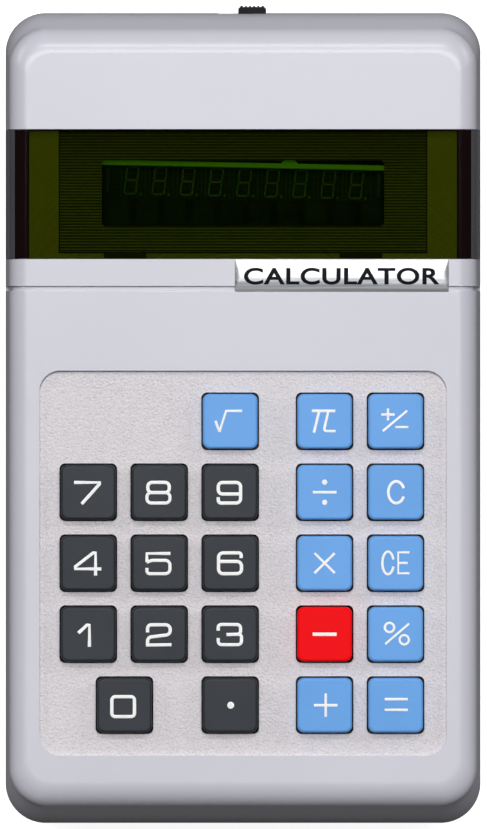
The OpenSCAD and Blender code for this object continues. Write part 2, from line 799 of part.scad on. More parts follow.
// Cone spring pressing on the flat end of each cell
module battery_springs() {
    turns = 3.5;
    wire_r = 0.35;
    steps = 42;
    color([0.82, 0.82, 0.84]) for (i = [0:3]) {
        way = cell_way(i);
        seat = way > 0 ? bay_y0 + contact_t : bay_y1 - contact_t;
        gap = abs(cell_flat_y(i) - seat) - 2 * wire_r - 0.1;
        path = [for (k = [0:steps])
            let (t = k / steps, a = 360 * turns * t, r = 4.6 - 2.2 * t)
            [r * cos(a), way * (wire_r + 0.05 + gap * t), r * sin(a)]];
        translate([cell_x(i), seat, cell_z]) swept_tube(path, wire_r, 6, [0, 1, 0]);
    }
}

// Plates that join the cells in a row, and a terminal at each end of the row
module battery_contacts() {
    half = 5.5;
    z0 = cell_z - 5.5;
    z1 = cell_z + 5.5;
    color([0.82, 0.82, 0.84]) {
        for (i = [0, 2])
            block([cell_x(i) - half, bay_y0, z0], [cell_x(i + 1) + half, bay_y0 + contact_t, z1]);
        block([cell_x(1) - half, bay_y1 - contact_t, z0], [cell_x(2) + half, bay_y1, z1]);
        for (i = [0, 3]) {
            block([cell_x(i) - half, bay_y1 - contact_t, z0], [cell_x(i) + half, bay_y1, z1]);
            block([cell_x(i) - 1.4, bay_y1 - contact_t, 11.8],
                [cell_x(i) + 1.4, bay_y1 + bay_wall + 2, 12.2]);
        }
    }
}

// Wires from the two terminals to the logic board
module battery_leads() {
    color([0.75, 0.10, 0.10]) for (i = [0, 3]) {
        y = bay_y1 + bay_wall + 1;
        path = [[0, y, 12.75], [0, y + 1, 13.4], [0, y + 2.4, 14.2], [0, y + 4, 14.3],
            [0, y + 5.2, 13.6], [0, y + 5.8, 12.4], [0, y + 5.9, logic_top]];
        translate([cell_x(i), 0, 0]) swept_tube(path, 0.55, 10, [1, 0, 0]);
    }
}

// ---------- fasteners and feet ----------

// Screw standing on its head, with a cross recess
module pan_screw(head_r, head_h, shank_r, shank_l) {
    difference() {
        cylinder(r = head_r, h = head_h);
        for (a = [0, 90]) rotate(a)
            translate([-head_r * 0.6, -0.22, -1]) cube([head_r * 1.2, 0.44, 1 + head_h * 0.55]);
    }
    translate([0, 0, head_h]) cylinder(r = shank_r, h = shank_l - 1);
    translate([0, 0, head_h + shank_l - 1]) cylinder(r1 = shank_r, r2 = shank_r * 0.4, h = 1);
}

module case_screws() {
    color([0.70, 0.71, 0.73]) for (p = case_screws)
        translate([p[0], p[1], screw_seat_z - 1.5]) pan_screw(2.1, 1.5, screw_r, 11.5);
}

module keyboard_screws() {
    color([0.70, 0.71, 0.73]) for (s = [-1, 1], y = post_ys)
        translate([s * post_x, y, keyboard_z - 1.1]) pan_screw(1.55, 1.1, 0.75, 4.4);
}

module logic_screws() {
    color([0.70, 0.71, 0.73]) for (p = logic_posts)
        translate([p[0], p[1], logic_top + 1.1]) rotate([180, 0, 0]) pan_screw(1.6, 1.1, 0.75, 5.5);
}

module rubber_feet() {
    color([0.08, 0.08, 0.08]) for (p = case_screws) translate([p[0], p[1], 0]) {
        cylinder(r = 2.6, h = back_z);
        cylinder(r = counterbore_r - 0.05, h = 2.8);
    }
}

// ---------- nodes ----------

front_case();
rear_case();
display_window();
display_mask();
nameplate();
rubber_keypad();
keyboard_board();
contact_pads();
logic_board();
board_link_wires();
tube_base();
tube_glass();
tube_segments();
tube_grids();
tube_filaments();
tube_leads();
logic_chip();
logic_chip_pins();
converter_coil();
capacitors();
resistors();
transistors();
switch_housing();
battery_cell(0);  // battery_cell_1
battery_cell(1);  // battery_cell_2
battery_cell(2);  // battery_cell_3
battery_cell(3);  // battery_cell_4
battery_springs();
battery_contacts();
battery_leads();
case_screws();
keyboard_screws();
logic_screws();
rubber_feet();
power_switch_knob();
battery_cover();
for (k = KEYS)
    key_cap(k[0], k[1], k[2]);
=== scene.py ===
"""Looks of a pocket calculator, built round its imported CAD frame.

Shapes are modelled in millimetres and scaled to metres when a piece is finished.
"""
import math

import bmesh
import bpy
from mathutils import Matrix, Vector


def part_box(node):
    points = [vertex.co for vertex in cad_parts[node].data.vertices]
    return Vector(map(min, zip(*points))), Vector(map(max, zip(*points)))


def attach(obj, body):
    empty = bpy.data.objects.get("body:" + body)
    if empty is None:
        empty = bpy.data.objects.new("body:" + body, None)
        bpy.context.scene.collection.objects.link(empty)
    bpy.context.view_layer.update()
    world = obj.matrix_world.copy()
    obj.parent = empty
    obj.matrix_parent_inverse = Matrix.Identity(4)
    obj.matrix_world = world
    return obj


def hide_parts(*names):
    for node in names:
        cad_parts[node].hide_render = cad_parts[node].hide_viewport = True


MM = 0.001
SHARP = math.radians(32)

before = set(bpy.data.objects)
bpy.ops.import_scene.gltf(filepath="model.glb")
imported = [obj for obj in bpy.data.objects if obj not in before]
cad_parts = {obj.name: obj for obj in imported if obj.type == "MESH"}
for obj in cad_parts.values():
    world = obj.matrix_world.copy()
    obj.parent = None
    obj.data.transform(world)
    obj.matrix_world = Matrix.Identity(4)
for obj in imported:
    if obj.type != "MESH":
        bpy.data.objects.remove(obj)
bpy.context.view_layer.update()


def box_mm(node):
    """Lowest and highest corner of a CAD node, in millimetres."""
    low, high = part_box(node)
    return low / MM, high / MM


# ---------- sizes taken from the frame ----------

CASE_LOW, CASE_HIGH = box_mm("rear_case")
CASE_W = CASE_HIGH.x - CASE_LOW.x
CASE_L = CASE_HIGH.y - CASE_LOW.y
FACE_Z = box_mm("front_case")[1].z
WINDOW_LOW, WINDOW_HIGH = box_mm("display_window")
PARTING_Z = WINDOW_LOW.z - 0.1
BACK_Z = 0.8
CORNER_R = 6.6
PANEL_Z = FACE_Z - 0.7
ROOF_Z = FACE_Z - 2.4
SADDLE_Z = FACE_Z - 2.05
MASK_LOW = 27.07
MASK_HIGH = 46.87
SADDLE_X = 35.0
TUBE_LEAN = 0.0209
DIGIT_FOOT = (35.7 * MM, 36.1 * MM)
GREEN_GLOW_START = (40.92 * MM, 41.18 * MM)
RIB_PITCH = 0.48
BAY_X = 29.0
EDGE_X = 37.3
GROOVE_TOP = WINDOW_LOW.y - 0.06 - 4.4
GROOVE_LOW = GROOVE_TOP - 0.95
PANEL_W = 66.6
PANEL_LOW = -55.2
PANEL_HIGH = 7.75

DARK_KEYS = ["key_%d" % i for i in range(10)] + ["key_point"]
BLUE_KEYS = [
    "key_square_root", "key_pi", "key_sign_change", "key_divide", "key_clear", "key_multiply",
    "key_clear_entry", "key_percent", "key_plus", "key_equals",
]
KEYS = DARK_KEYS + BLUE_KEYS + ["key_minus"]


# ---------- shader writing ----------

class Socket:
    """A shader value that Python's operators build Math nodes on."""

    def __init__(self, shader, socket):
        self.shader = shader
        self.socket = socket

    def _math(self, operation, *values):
        return self.shader.node("ShaderNodeMath", {"operation": operation}, dict(enumerate(values)))[0]

    def __add__(self, other):
        return self._math("ADD", self, other)

    __radd__ = __add__

    def __sub__(self, other):
        return self._math("SUBTRACT", self, other)

    def __rsub__(self, other):
        return self._math("SUBTRACT", other, self)

    def __mul__(self, other):
        return self._math("MULTIPLY", self, other)

    __rmul__ = __mul__

    def __truediv__(self, other):
        return self._math("DIVIDE", self, other)

    def __gt__(self, other):
        return self._math("GREATER_THAN", self, other)

    def __lt__(self, other):
        return self._math("LESS_THAN", self, other)

    def absolute(self):
        return self._math("ABSOLUTE", self)

    def fraction(self):
        return self._math("FRACT", self)

    def sine(self):
        return self._math("SINE", self)


class Shader:
    """A material being written. Every node comes from node()."""

    def __init__(self, name):
        self.material = bpy.data.materials.new(name)
        self.material.use_nodes = True
        self.tree = self.material.node_tree
        self.tree.nodes.clear()
        self.output = self.tree.nodes.new("ShaderNodeOutputMaterial")

    def node(self, kind, settings=None, values=None):
        """Adds a node: settings first, then the values or links of its sockets. Returns its outputs."""
        made = self.tree.nodes.new(kind)
        for key, value in (settings or {}).items():
            setattr(made, key, value)
        for key, value in (values or {}).items():
            socket = made.inputs[key]
            if isinstance(value, Socket):
                self.tree.links.new(value.socket, socket)
            else:
                socket.default_value = value
        return [Socket(self, s) for s in made.outputs]

    def place(self):
        """Object coordinates of the shaded point."""
        return self.node("ShaderNodeTexCoord")[3]

    def xyz(self, vector=None):
        return self.node("ShaderNodeSeparateXYZ", None, {0: vector or self.place()})

    def stretched(self, scale, turn=(0, 0, 0)):
        return self.node("ShaderNodeMapping", None, {0: self.place(), 2: turn, 3: scale})[0]

    def along_tube(self):
        """Y in the tube's own direction, which is turned a little in the case."""
        x, y = self.xyz()[:2]
        return y + x * TUBE_LEAN

    def noise(self, scale, detail=3.0, vector=None, roughness=0.5):
        values = {"Vector": vector or self.place(), "Scale": scale, "Detail": detail,
                  "Roughness": roughness}
        return self.node("ShaderNodeTexNoise", None, values)[0]

    def cells(self, scale, vector=None):
        values = {"Vector": vector or self.place(), "Scale": scale}
        return self.node("ShaderNodeTexVoronoi", None, values)[0]

    def spread(self, value, low, high, to_low=0.0, to_high=1.0):
        """Maps a value's range low to high onto another, held at its ends."""
        return self.node("ShaderNodeMapRange", None,
                         {0: value, 1: low, 2: high, 3: to_low, 4: to_high})[0]

    def blend(self, amount, first, second, mode="MIX"):
        """Mixes two colours."""
        made = self.node("ShaderNodeMix", {"data_type": "RGBA", "blend_type": mode},
                         {0: amount, 6: rgba(first), 7: rgba(second)})
        return made[2]

    def bump(self, height, strength, distance):
        return self.node("ShaderNodeBump", None,
                         {"Strength": strength, "Distance": distance, "Height": height})[0]

    def surface(self, **values):
        """The main shader. Underscores in names stand for spaces."""
        named = {key.replace("_", " "): value for key, value in values.items()}
        named["Base Color"] = rgba(named["Base Color"])
        return self.node("ShaderNodeBsdfPrincipled", None, named)[0]

    def finish(self, shader):
        self.tree.links.new(shader.socket, self.output.inputs[0])
        return self.material


def rgba(colour):
    if isinstance(colour, (tuple, list)) and len(colour) == 3:
        return (*colour, 1.0)
    return colour


# ---------- materials ----------

def moulded(name, colour, other, roughness, grain=900.0, depth=0.00002, gloss=0.5):
    """Moulded plastic: faint cloudy shade, fine grain, and a roughness that varies a little."""
    s = Shader(name)
    clouds = s.noise(18.0, 4.0)
    tint = s.blend(s.spread(clouds, 0.35, 0.65), colour, other)
    fine = s.noise(grain, 2.0)
    rough = s.spread(s.noise(420.0, 3.0), 0.3, 0.7, roughness - 0.01, roughness + 0.015)
    shade = s.surface(Base_Color=tint, Roughness=rough, Specular_IOR_Level=gloss,
                      Normal=s.bump(fine, 0.35, depth))
    return s.finish(shade)


def key_plastic(name, colour, other, gloss):
    """Key caps: coloured above the panel, with painted shade in near black down in the gap round the
    skirt.
    """
    s = Shader(name)
    depth = s.xyz()[2]
    gap_shade_fade = s.spread(depth, (PANEL_Z - 0.2) * MM, (PANEL_Z + 0.35) * MM)
    wear = s.spread(s.noise(90.0, 4.0), 0.35, 0.65)
    # Painted shade: below the panel the key colour fades to near black in the gap.
    tint = s.blend(gap_shade_fade, (0.006, 0.006, 0.007), s.blend(wear, colour, other))
    fine = s.noise(1500.0, 2.0)
    rough = s.spread(s.noise(260.0, 3.0), 0.3, 0.7, 0.30, 0.38)
    shade = s.surface(Base_Color=tint, Roughness=rough, Specular_IOR_Level=gloss,
                      Normal=s.bump(fine, 0.4, 0.00002))
    return s.finish(shade)


def pebbled_panel():
    """The key panel: slightly warmer, with a pebbled leather grain."""
    s = Shader("pebbled_panel")
    creases = s.noise(2600.0, 2.0)
    pebbles = s.spread(s.cells(2300.0), 0.0, 0.6, 1.0, 0.0)
    height = pebbles * 0.5 + creases
    speckle = s.spread(s.noise(3400.0, 2.0), 0.3, 0.7)
    haze = s.spread(s.noise(110.0, 2.0), 0.35, 0.65)
    tint = s.blend(speckle, (0.67, 0.635, 0.675), (0.83, 0.79, 0.82))
    tint = s.blend(haze * 0.3, tint, (0.79, 0.755, 0.755))
    shade = s.surface(Base_Color=tint, Roughness=0.62, Specular_IOR_Level=0.4,
                      Normal=s.bump(height, 1.0, 0.00016))
    return s.finish(shade)


def ribbed_mask():
    """Mask behind the window: painted shade makes its grooves darker than its ribs, and near its
    display-end edge its ribs turn brownish dark, partly its own margin and partly painted shadow; its tabs
    are black.
    """
    s = Shader("mask_plastic")
    y = s.xyz()[1]
    middle = (MASK_LOW + MASK_HIGH) / 2 * MM
    groove_shade_wave = ((y - middle) * (math.tau / (RIB_PITCH * MM)) + math.pi / 2).sine()
    # Near the display-end edge the ribs turn brownish dark: partly the mask's own margin, partly painted
    # shadow.
    margin_and_shadow_fade = s.spread(y, MASK_HIGH * MM - 0.008, MASK_HIGH * MM - 0.001, 0.0, 0.55)
    rib = s.blend(margin_and_shadow_fade, (0.52, 0.58, 0.52), (0.26, 0.22, 0.22))
    # Painted shade: the grooves between the ribs are coloured darker than the ribs.
    tint = s.blend(s.spread(groove_shade_wave, -0.7, 0.7), rib, (0.10, 0.11, 0.10))
    edge = (y - middle).absolute() > (MASK_HIGH - MASK_LOW) / 2 * MM - 0.0001
    tint = s.blend(edge, tint, (0.012, 0.012, 0.014))
    shade = s.surface(Base_Color=tint, Roughness=0.5, Normal=s.bump(s.noise(900.0), 0.3, 0.00002))
    return s.finish(shade)


def tinted_window():
    """Dark green sheet: what is under it shows through, and its skin reflects; at its legs it turns to a
    dark maroon skin, a painted dark reflection.
    """
    s = Shader("tinted_window")
    clear = s.node("ShaderNodeBsdfTransparent", None, {0: (0.453, 0.49, 0.12, 1.0)})[0]
    smear = s.spread(s.noise(35.0, 3.0, s.stretched((1.0, 2.6, 1.0))), 0.35, 0.7, 0.045, 0.10)
    skin = s.surface(Base_Color=(0.008, 0.012, 0.002), Roughness=smear, IOR=1.49,
                     Specular_IOR_Level=0.5)
    edge = s.node("ShaderNodeFresnel", None, {0: 1.42})[0]
    body = s.node("ShaderNodeMixShader", None, {0: edge, 1: clear, 2: skin})[0]
    # Painted dark reflection: towards its legs the window turns into a dark maroon glossy skin.
    painted_dark_reflection = s.surface(Base_Color=(0.009, 0.003, 0.004), Roughness=0.08, IOR=1.49)
    leg_reflection_fade = s.spread(s.xyz()[0].absolute(), 35.0 * MM, 35.5 * MM, 0.0, 0.8)
    return s.finish(s.node("ShaderNodeMixShader", None, {0: leg_reflection_fade, 1: body, 2: painted_dark_reflection})[0])


def window_edge():
    """The window's polished side, whose grey is a painted reflection of the room."""
    s = Shader("window_edge")
    haze = s.spread(s.noise(220.0, 3.0, s.stretched((1.0, 0.2, 1.0))), 0.3, 0.7)
    # Two greys of a painted reflection of the room.
    tint = s.blend(haze, (0.060, 0.060, 0.072), (0.080, 0.080, 0.094))
    return s.finish(s.surface(Base_Color=tint, Roughness=0.12, IOR=1.49))


def glass_with_painted_glow():
    """Glass of the tube: clear, with a green band along its display end that is painted light, the glow of
    light through the glass edge, plus a faint painted emission.
    """
    s = Shader("glass_with_painted_glow")
    clear = s.node("ShaderNodeBsdfTransparent", None, {0: (0.80, 0.93, 0.84, 1.0)})[0]
    skin = s.surface(Base_Color=(0.02, 0.04, 0.03), Roughness=0.06, IOR=1.5)
    edge = s.node("ShaderNodeFresnel", None, {0: 1.45})[0]
    body = s.node("ShaderNodeMixShader", None, {0: edge, 1: clear, 2: skin})[0]
    speck = s.spread(s.noise(1800.0, 2.0), 0.35, 0.65)
    tint = s.blend(speck, (0.32, 0.95, 0.03), (0.38, 1.0, 0.06))
    # Painted green glow of light through the glass edge, with a faint painted emission.
    painted_green_glow = s.surface(Base_Color=tint, Roughness=0.5, Emission_Color=(0.25, 1.0, 0.02, 1.0),
                     Emission_Strength=0.16)
    return s.finish(s.node("ShaderNodeMixShader", None,
                           {0: s.spread(s.along_tube(), *GREEN_GLOW_START), 1: body, 2: painted_green_glow})[0])


def brushed_plate():
    """Aluminium brushed along the plate."""
    s = Shader("brushed_plate")
    lines = s.noise(2200.0, 4.0, s.stretched((0.02, 1.0, 1.0)))
    broad = s.noise(700.0, 2.0, s.stretched((0.04, 1.0, 1.0)))
    streak = s.spread(lines * 0.6 + broad * 0.4, 0.35, 0.65)
    tint = s.blend(streak, (0.42, 0.44, 0.47), (0.74, 0.75, 0.77))
    rough = s.spread(streak, 0.0, 1.0, 0.42, 0.54)
    shade = s.surface(Base_Color=tint, Metallic=1.0, Roughness=rough,
                      Normal=s.bump(lines, 0.3, 0.00003))
    return s.finish(shade)


def metal(name, colour, roughness, streaks=(1.0, 1.0, 1.0), tarnish=(0.4, 0.34, 0.26)):
    """Small metal parts: plated, with fine streaks and a trace of tarnish."""
    s = Shader(name)
    lines = s.noise(1400.0, 3.0, s.stretched(streaks))
    stain = s.spread(s.noise(140.0, 4.0), 0.52, 0.8, 0.0, 0.5)
    tint = s.blend(stain, colour, tarnish)
    rough = s.spread(lines, 0.3, 0.7, roughness - 0.06, roughness + 0.1)
    shade = s.surface(Base_Color=tint, Metallic=1.0, Roughness=rough,
                      Normal=s.bump(lines, 0.2, 0.00002))
    return s.finish(shade)


def circuit_board(name, dark, light, copper):
    """Board with tracks showing faintly through its coating."""
    s = Shader(name)
    x, y = s.xyz()[:2]
    lane_x = ((x * 420.0 + s.noise(40.0, 0.0) * 2.0).fraction() - 0.5).absolute() < 0.13
    lane_y = ((y * 390.0 + s.noise(33.0, 0.0) * 2.0).fraction() - 0.5).absolute() < 0.12
    pick = s.noise(60.0, 0.0) > 0.5
    track = lane_x * pick + lane_y * (1 - pick)
    weave = s.spread(s.noise(300.0, 3.0), 0.3, 0.7)
    base = s.blend(weave, dark, light)
    tint = s.blend(track, base, copper)
    shade = s.surface(Base_Color=tint, Roughness=0.42, Normal=s.bump(track, 0.4, 0.00004))
    return s.finish(shade)


def cell_jacket():
    """Printed jacket of a cell: a dark body with a bright band at the button end."""
    s = Shader("cell_jacket")
    y = s.xyz()[1]
    scuff = s.spread(s.noise(220.0, 5.0), 0.58, 0.72)
    ring = s.noise(700.0, 2.0, s.stretched((1.0, 0.05, 1.0)))
    band = (y + 0.0125).absolute() < 0.0085
    tint = s.blend(band, (0.016, 0.018, 0.02), (0.62, 0.40, 0.12))
    worn = s.blend(scuff * 0.5, tint, (0.7, 0.7, 0.7))
    rough = s.spread(ring, 0.3, 0.7, 0.22, 0.36)
    shade = s.surface(Base_Color=worn, Metallic=0.85, Roughness=rough,
                      Normal=s.bump(ring, 0.15, 0.00002))
    return s.finish(shade)


def rubber(name, colour, other, roughness=0.75):
    s = Shader(name)
    dust = s.spread(s.noise(130.0, 4.0), 0.45, 0.75)
    tint = s.blend(dust, colour, other)
    grain = s.noise(1300.0, 2.0)
    shade = s.surface(Base_Color=tint, Roughness=roughness, Normal=s.bump(grain, 0.4, 0.00004))
    return s.finish(shade)


def phosphor():
    """Segments of the tube, unlit: pale green-grey powder."""
    s = Shader("phosphor")
    speck = s.spread(s.noise(2500.0, 2.0), 0.3, 0.7)
    digit = s.spread(s.along_tube(), *DIGIT_FOOT)
    tint = s.blend(speck, (0.40, 0.46, 0.40), (0.50, 0.55, 0.48))
    tint = s.blend(digit, (0.014, 0.022, 0.014), tint)
    shade = s.surface(Base_Color=tint, Roughness=0.8, Normal=s.bump(speck, 0.3, 0.00002))
    return s.finish(shade)


def grid_foil():
    """Control grids of the tube: grey foil over the digits, darker at their tabs."""
    s = Shader("grid_foil")
    haze = s.spread(s.noise(1500.0, 3.0), 0.3, 0.7)
    foil = s.blend(haze, (0.08, 0.10, 0.09), (0.10, 0.12, 0.11))
    over_digit = s.spread(s.along_tube(), *DIGIT_FOOT)
    tint = s.blend(over_digit, (0.016, 0.022, 0.018), foil)
    return s.finish(s.surface(Base_Color=tint, Metallic=1.0, Roughness=0.5))


def banded_resistor():
    """Lacquered resistor bodies with colour rings."""
    s = Shader("banded_resistor")
    grain = s.spread(s.noise(500.0, 3.0), 0.3, 0.7)
    base = s.blend(grain, (0.60, 0.45, 0.25), (0.70, 0.55, 0.34))
    along = s.xyz()[1] - 0.051
    red = (along + 0.0012).absolute() < 0.0002
    violet = (along + 0.0005).absolute() < 0.0002
    yellow = (along - 0.0002).absolute() < 0.0002
    gold = (along - 0.0013).absolute() < 0.0002
    bare = along.absolute() > 0.0023
    tint = s.blend(red, base, (0.45, 0.02, 0.01))
    tint = s.blend(violet, tint, (0.12, 0.03, 0.20))
    tint = s.blend(yellow, tint, (0.65, 0.42, 0.02))
    tint = s.blend(gold, tint, (0.45, 0.28, 0.08))
    tint = s.blend(bare, tint, (0.6, 0.6, 0.62))
    shade = s.surface(Base_Color=tint, Metallic=bare, Roughness=0.35)
    return s.finish(shade)


def winding():
    """Coil: copper wire between two dark ferrite plates."""
    s = Shader("winding")
    z = s.xyz()[2]
    turns = (z * 7000.0).sine()
    low, high = box_mm("converter_coil")
    flange = 1.45
    copper = (z > (low.z + flange) * MM) * (z < (high.z - flange) * MM)
    grain = s.spread(s.noise(700.0, 3.0), 0.3, 0.7)
    ferrite = s.blend(grain, (0.03, 0.03, 0.032), (0.06, 0.06, 0.065))
    tint = s.blend(copper, ferrite, (0.55, 0.20, 0.05))
    height = turns * copper * 0.5 + grain * 0.2
    shade = s.surface(Base_Color=tint, Metallic=copper * 0.8, Roughness=0.4,
                      Normal=s.bump(height, 0.5, 0.00005))
    return s.finish(shade)


def sleeve():
    """Capacitor sleeves: blue with faint scuffs and a bare top."""
    s = Shader("sleeve")
    z = s.xyz()[2]
    top = box_mm("capacitors")[1].z * MM
    bare = z > top - 0.00008
    scuff = s.spread(s.noise(400.0, 4.0), 0.5, 0.8, 0.0, 0.4)
    tint = s.blend(scuff, (0.02, 0.06, 0.22), (0.05, 0.10, 0.30))
    tint = s.blend(bare, tint, (0.6, 0.6, 0.62))
    shade = s.surface(Base_Color=tint, Metallic=bare, Roughness=0.32)
    return s.finish(shade)


def printed(name, colour, roughness=0.45, gloss=0.5):
    """Paint or printed ink with a faint grain and gloss."""
    s = Shader(name)
    grain = s.spread(s.noise(900.0, 3.0), 0.3, 0.7)
    dim = tuple(c * 0.93 for c in colour)
    tint = s.blend(grain, dim, colour)
    shade = s.surface(Base_Color=tint, Roughness=roughness, Specular_IOR_Level=gloss,
                      Normal=s.bump(grain, 0.15, 0.00001))
    return s.finish(shade)


CASE = moulded("case_plastic", (0.620, 0.617, 0.692), (0.650, 0.645, 0.722), 0.29)
PANEL = pebbled_panel()
SHELF = moulded("shelf_plastic", (0.31, 0.31, 0.33), (0.34, 0.34, 0.36), 0.5)
DARK_KEY = key_plastic("dark_key_plastic", (0.023, 0.028, 0.036), (0.028, 0.033, 0.042), 0.18)
BLUE_KEY = key_plastic("blue_key_plastic", (0.120, 0.370, 0.82), (0.132, 0.39, 0.86), 0.3)
RED_KEY = key_plastic("red_key_plastic", (1.0, 0.004, 0.008), (0.97, 0.003, 0.007), 0.04)
MASK = ribbed_mask()
EDGE = window_edge()
WHITE_INK = printed("white_legend", (0.98, 0.98, 0.98), 0.4)
BLACK_INK = printed("black_legend", (0.008, 0.007, 0.009), 0.6, 0.08)
WINDOW = tinted_window()
GLASS = glass_with_painted_glow()
PLATE = brushed_plate()
FEET = rubber("foot_rubber", (0.012, 0.012, 0.012), (0.03, 0.03, 0.028))
STEEL = metal("plated_steel", (0.62, 0.62, 0.64), 0.30)
TINNED = metal("tinned_wire", (0.70, 0.70, 0.70), 0.35)
GOLD = metal("gold_contacts", (0.80, 0.55, 0.20), 0.3, tarnish=(0.35, 0.18, 0.08))
GRID = grid_foil()

CARRIED = {
    "rubber_keypad": rubber("keypad_rubber", (0.12, 0.12, 0.13), (0.17, 0.17, 0.18), 0.6),
    "keyboard_board": circuit_board("brown_board", (0.15, 0.07, 0.02), (0.22, 0.11, 0.035),
                                    (0.40, 0.20, 0.06)),
    "contact_pads": GOLD,
    "logic_board": circuit_board("green_board", (0.008, 0.07, 0.02), (0.015, 0.10, 0.03),
                                 (0.06, 0.22, 0.06)),
    "board_link_wires": TINNED,
    "tube_base": moulded("tube_plate", (0.006, 0.010, 0.008), (0.010, 0.016, 0.012), 0.2),
    "tube_glass": GLASS,
    "tube_segments": phosphor(),
    "tube_grids": GRID,
    "tube_filaments": GRID,
    "tube_leads": TINNED,
    "logic_chip": moulded("chip_epoxy", (0.012, 0.012, 0.013), (0.02, 0.02, 0.021), 0.55, 500.0),
    "logic_chip_pins": TINNED,
    "converter_coil": winding(),
    "capacitors": sleeve(),
    "resistors": banded_resistor(),
    "transistors": moulded("transistor_epoxy", (0.014, 0.014, 0.014), (0.022, 0.022, 0.022), 0.5),
    "switch_housing": metal("housing_steel", (0.55, 0.55, 0.56), 0.36),
    "battery_cell_1": cell_jacket(),
    "battery_springs": STEEL,
    "battery_contacts": STEEL,
    "battery_leads": moulded("lead_sleeve", (0.45, 0.01, 0.01), (0.52, 0.015, 0.012), 0.4),
    "case_screws": STEEL,
    "keyboard_screws": STEEL,
    "logic_screws": STEEL,
    "power_switch_knob": moulded("knob_plastic", (0.006, 0.007, 0.009), (0.011, 0.012, 0.014), 0.6,
                                 gloss=0.12),
    "display_mask": MASK,
}
for i in range(2, 5):
    CARRIED["battery_cell_%d" % i] = CARRIED["battery_cell_1"]
for node, material in CARRIED.items():
    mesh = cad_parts[node].data
    mesh.materials.clear()
    mesh.materials.append(material)


# ---------- mesh tools ----------

def rounded_loop(bm, w, l, r, z, middle=(0.0, 0.0), per_corner=8):
    """A level rounded rectangle as a loop of edges."""
    n = per_corner * 4
    turn = Matrix.Rotation(math.pi / n, 4, "Z")
    verts = bmesh.ops.create_circle(bm, segments=n, radius=r, matrix=turn)["verts"]
    for v in verts:
        shift_x = math.copysign(w / 2 - r, v.co.x)
        shift_y = math.copysign(l / 2 - r, v.co.y)
        v.co += Vector((shift_x + middle[0], shift_y + middle[1], z))
    return list(dict.fromkeys(e for v in verts for e in v.link_edges))


def loft(bm, loops):
    """Joins level loops into a closed form."""
    for low, high in zip(loops, loops[1:]):
        bmesh.ops.bridge_loops(bm, edges=low + high)
    bmesh.ops.edgeloop_fill(bm, edges=loops[0])
    bmesh.ops.edgeloop_fill(bm, edges=loops[-1])
    bmesh.ops.recalc_face_normals(bm, faces=bm.faces[:])


def solid_box(bm, low, high):
    size = [h - l for l, h in zip(low, high)]
    mid = [(h + l) / 2 for l, h in zip(low, high)]
    matrix = Matrix.Translation(mid) @ Matrix.Diagonal((*size, 1.0))
    bmesh.ops.create_cube(bm, size=1.0, matrix=matrix)


def cylinder(bm, x, y, z0, z1, r, segments=40):
    matrix = Matrix.Translation((x, y, (z0 + z1) / 2))
    bmesh.ops.create_cone(bm, cap_ends=True, segments=segments, radius1=r, radius2=r,
                          depth=z1 - z0, matrix=matrix)


def prism(bm, points, axis, start, end):
    """A flat outline across one axis, extruded along it from start to end."""
    def at(p):
        return (start, p[0], p[1]) if axis == "x" else (p[0], start, p[1])
    face = bm.faces.new([bm.verts.new(at(p)) for p in points])
    made = bmesh.ops.extrude_face_region(bm, geom=[face])["geom"]
    moved = [g for g in made if isinstance(g, bmesh.types.BMVert)]
    step = (end - start, 0, 0) if axis == "x" else (0, end - start, 0)
    bmesh.ops.translate(bm, vec=step, verts=moved)
    bmesh.ops.recalc_face_normals(bm, faces=bm.faces[:])


def shape(build):
    """A scratch object from a function that fills a bmesh."""
    bm = bmesh.new()
    build(bm)
    mesh = bpy.data.meshes.new("scratch")
    bm.to_mesh(mesh)
    bm.free()
    made = bpy.data.objects.new("scratch", mesh)
    bpy.context.scene.collection.objects.link(made)
    return made


def carve(target, cutter, operation="DIFFERENCE"):
    """Cuts, joins or intersects one scratch object with another, which is used up."""
    step = target.modifiers.new("carve", "BOOLEAN")
    step.operation = operation
    step.solver = "EXACT"
    step.object = cutter
    graph = bpy.context.evaluated_depsgraph_get()
    result = bpy.data.meshes.new_from_object(target.evaluated_get(graph))
    target.modifiers.clear()
    target.data = result
    bpy.data.objects.remove(cutter)
    return target


def piece(name, source, body, materials, replaces=(), slot=None, pick=None, soften=0.0,
          keep=None):
    """Finishes a piece: softens edges, scales to metres, marks sharp edges, rides on its body."""
    bm = bmesh.new()
    bm.from_mesh(source.data)
    bmesh.ops.remove_doubles(bm, verts=bm.verts[:], dist=0.002)
    bmesh.ops.dissolve_degenerate(bm, edges=bm.edges[:], dist=0.001)
    if soften:
        edges = [e for e in bm.edges if e.is_manifold and e.calc_face_angle(0.0) > SHARP
                 and (keep is None or keep(e))]
        bmesh.ops.bevel(bm, geom=edges, offset=soften, offset_type="OFFSET", segments=2,
                        profile=0.5, affect="EDGES", material=-1, clamp_overlap=True)
    for face in bm.faces:
        face.smooth = True
        face.material_index = pick(face) if pick else 0
    for edge in bm.edges:
        if edge.is_manifold and edge.calc_face_angle(0.0) > SHARP:
            edge.smooth = False
    bmesh.ops.scale(bm, vec=(MM, MM, MM), verts=bm.verts[:])
    mesh = bpy.data.meshes.new(name)
    bm.to_mesh(mesh)
    bm.free()
    for material in materials:
        mesh.materials.append(material)
    made = bpy.data.objects.new(name, mesh)
    bpy.context.scene.collection.objects.link(made)
    bpy.data.objects.remove(source)
    weighted = made.modifiers.new("normals", "WEIGHTED_NORMAL")
    weighted.keep_sharp = True
    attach(made, body)
    if replaces:
        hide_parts(*replaces)
    return made


# ---------- case form ----------

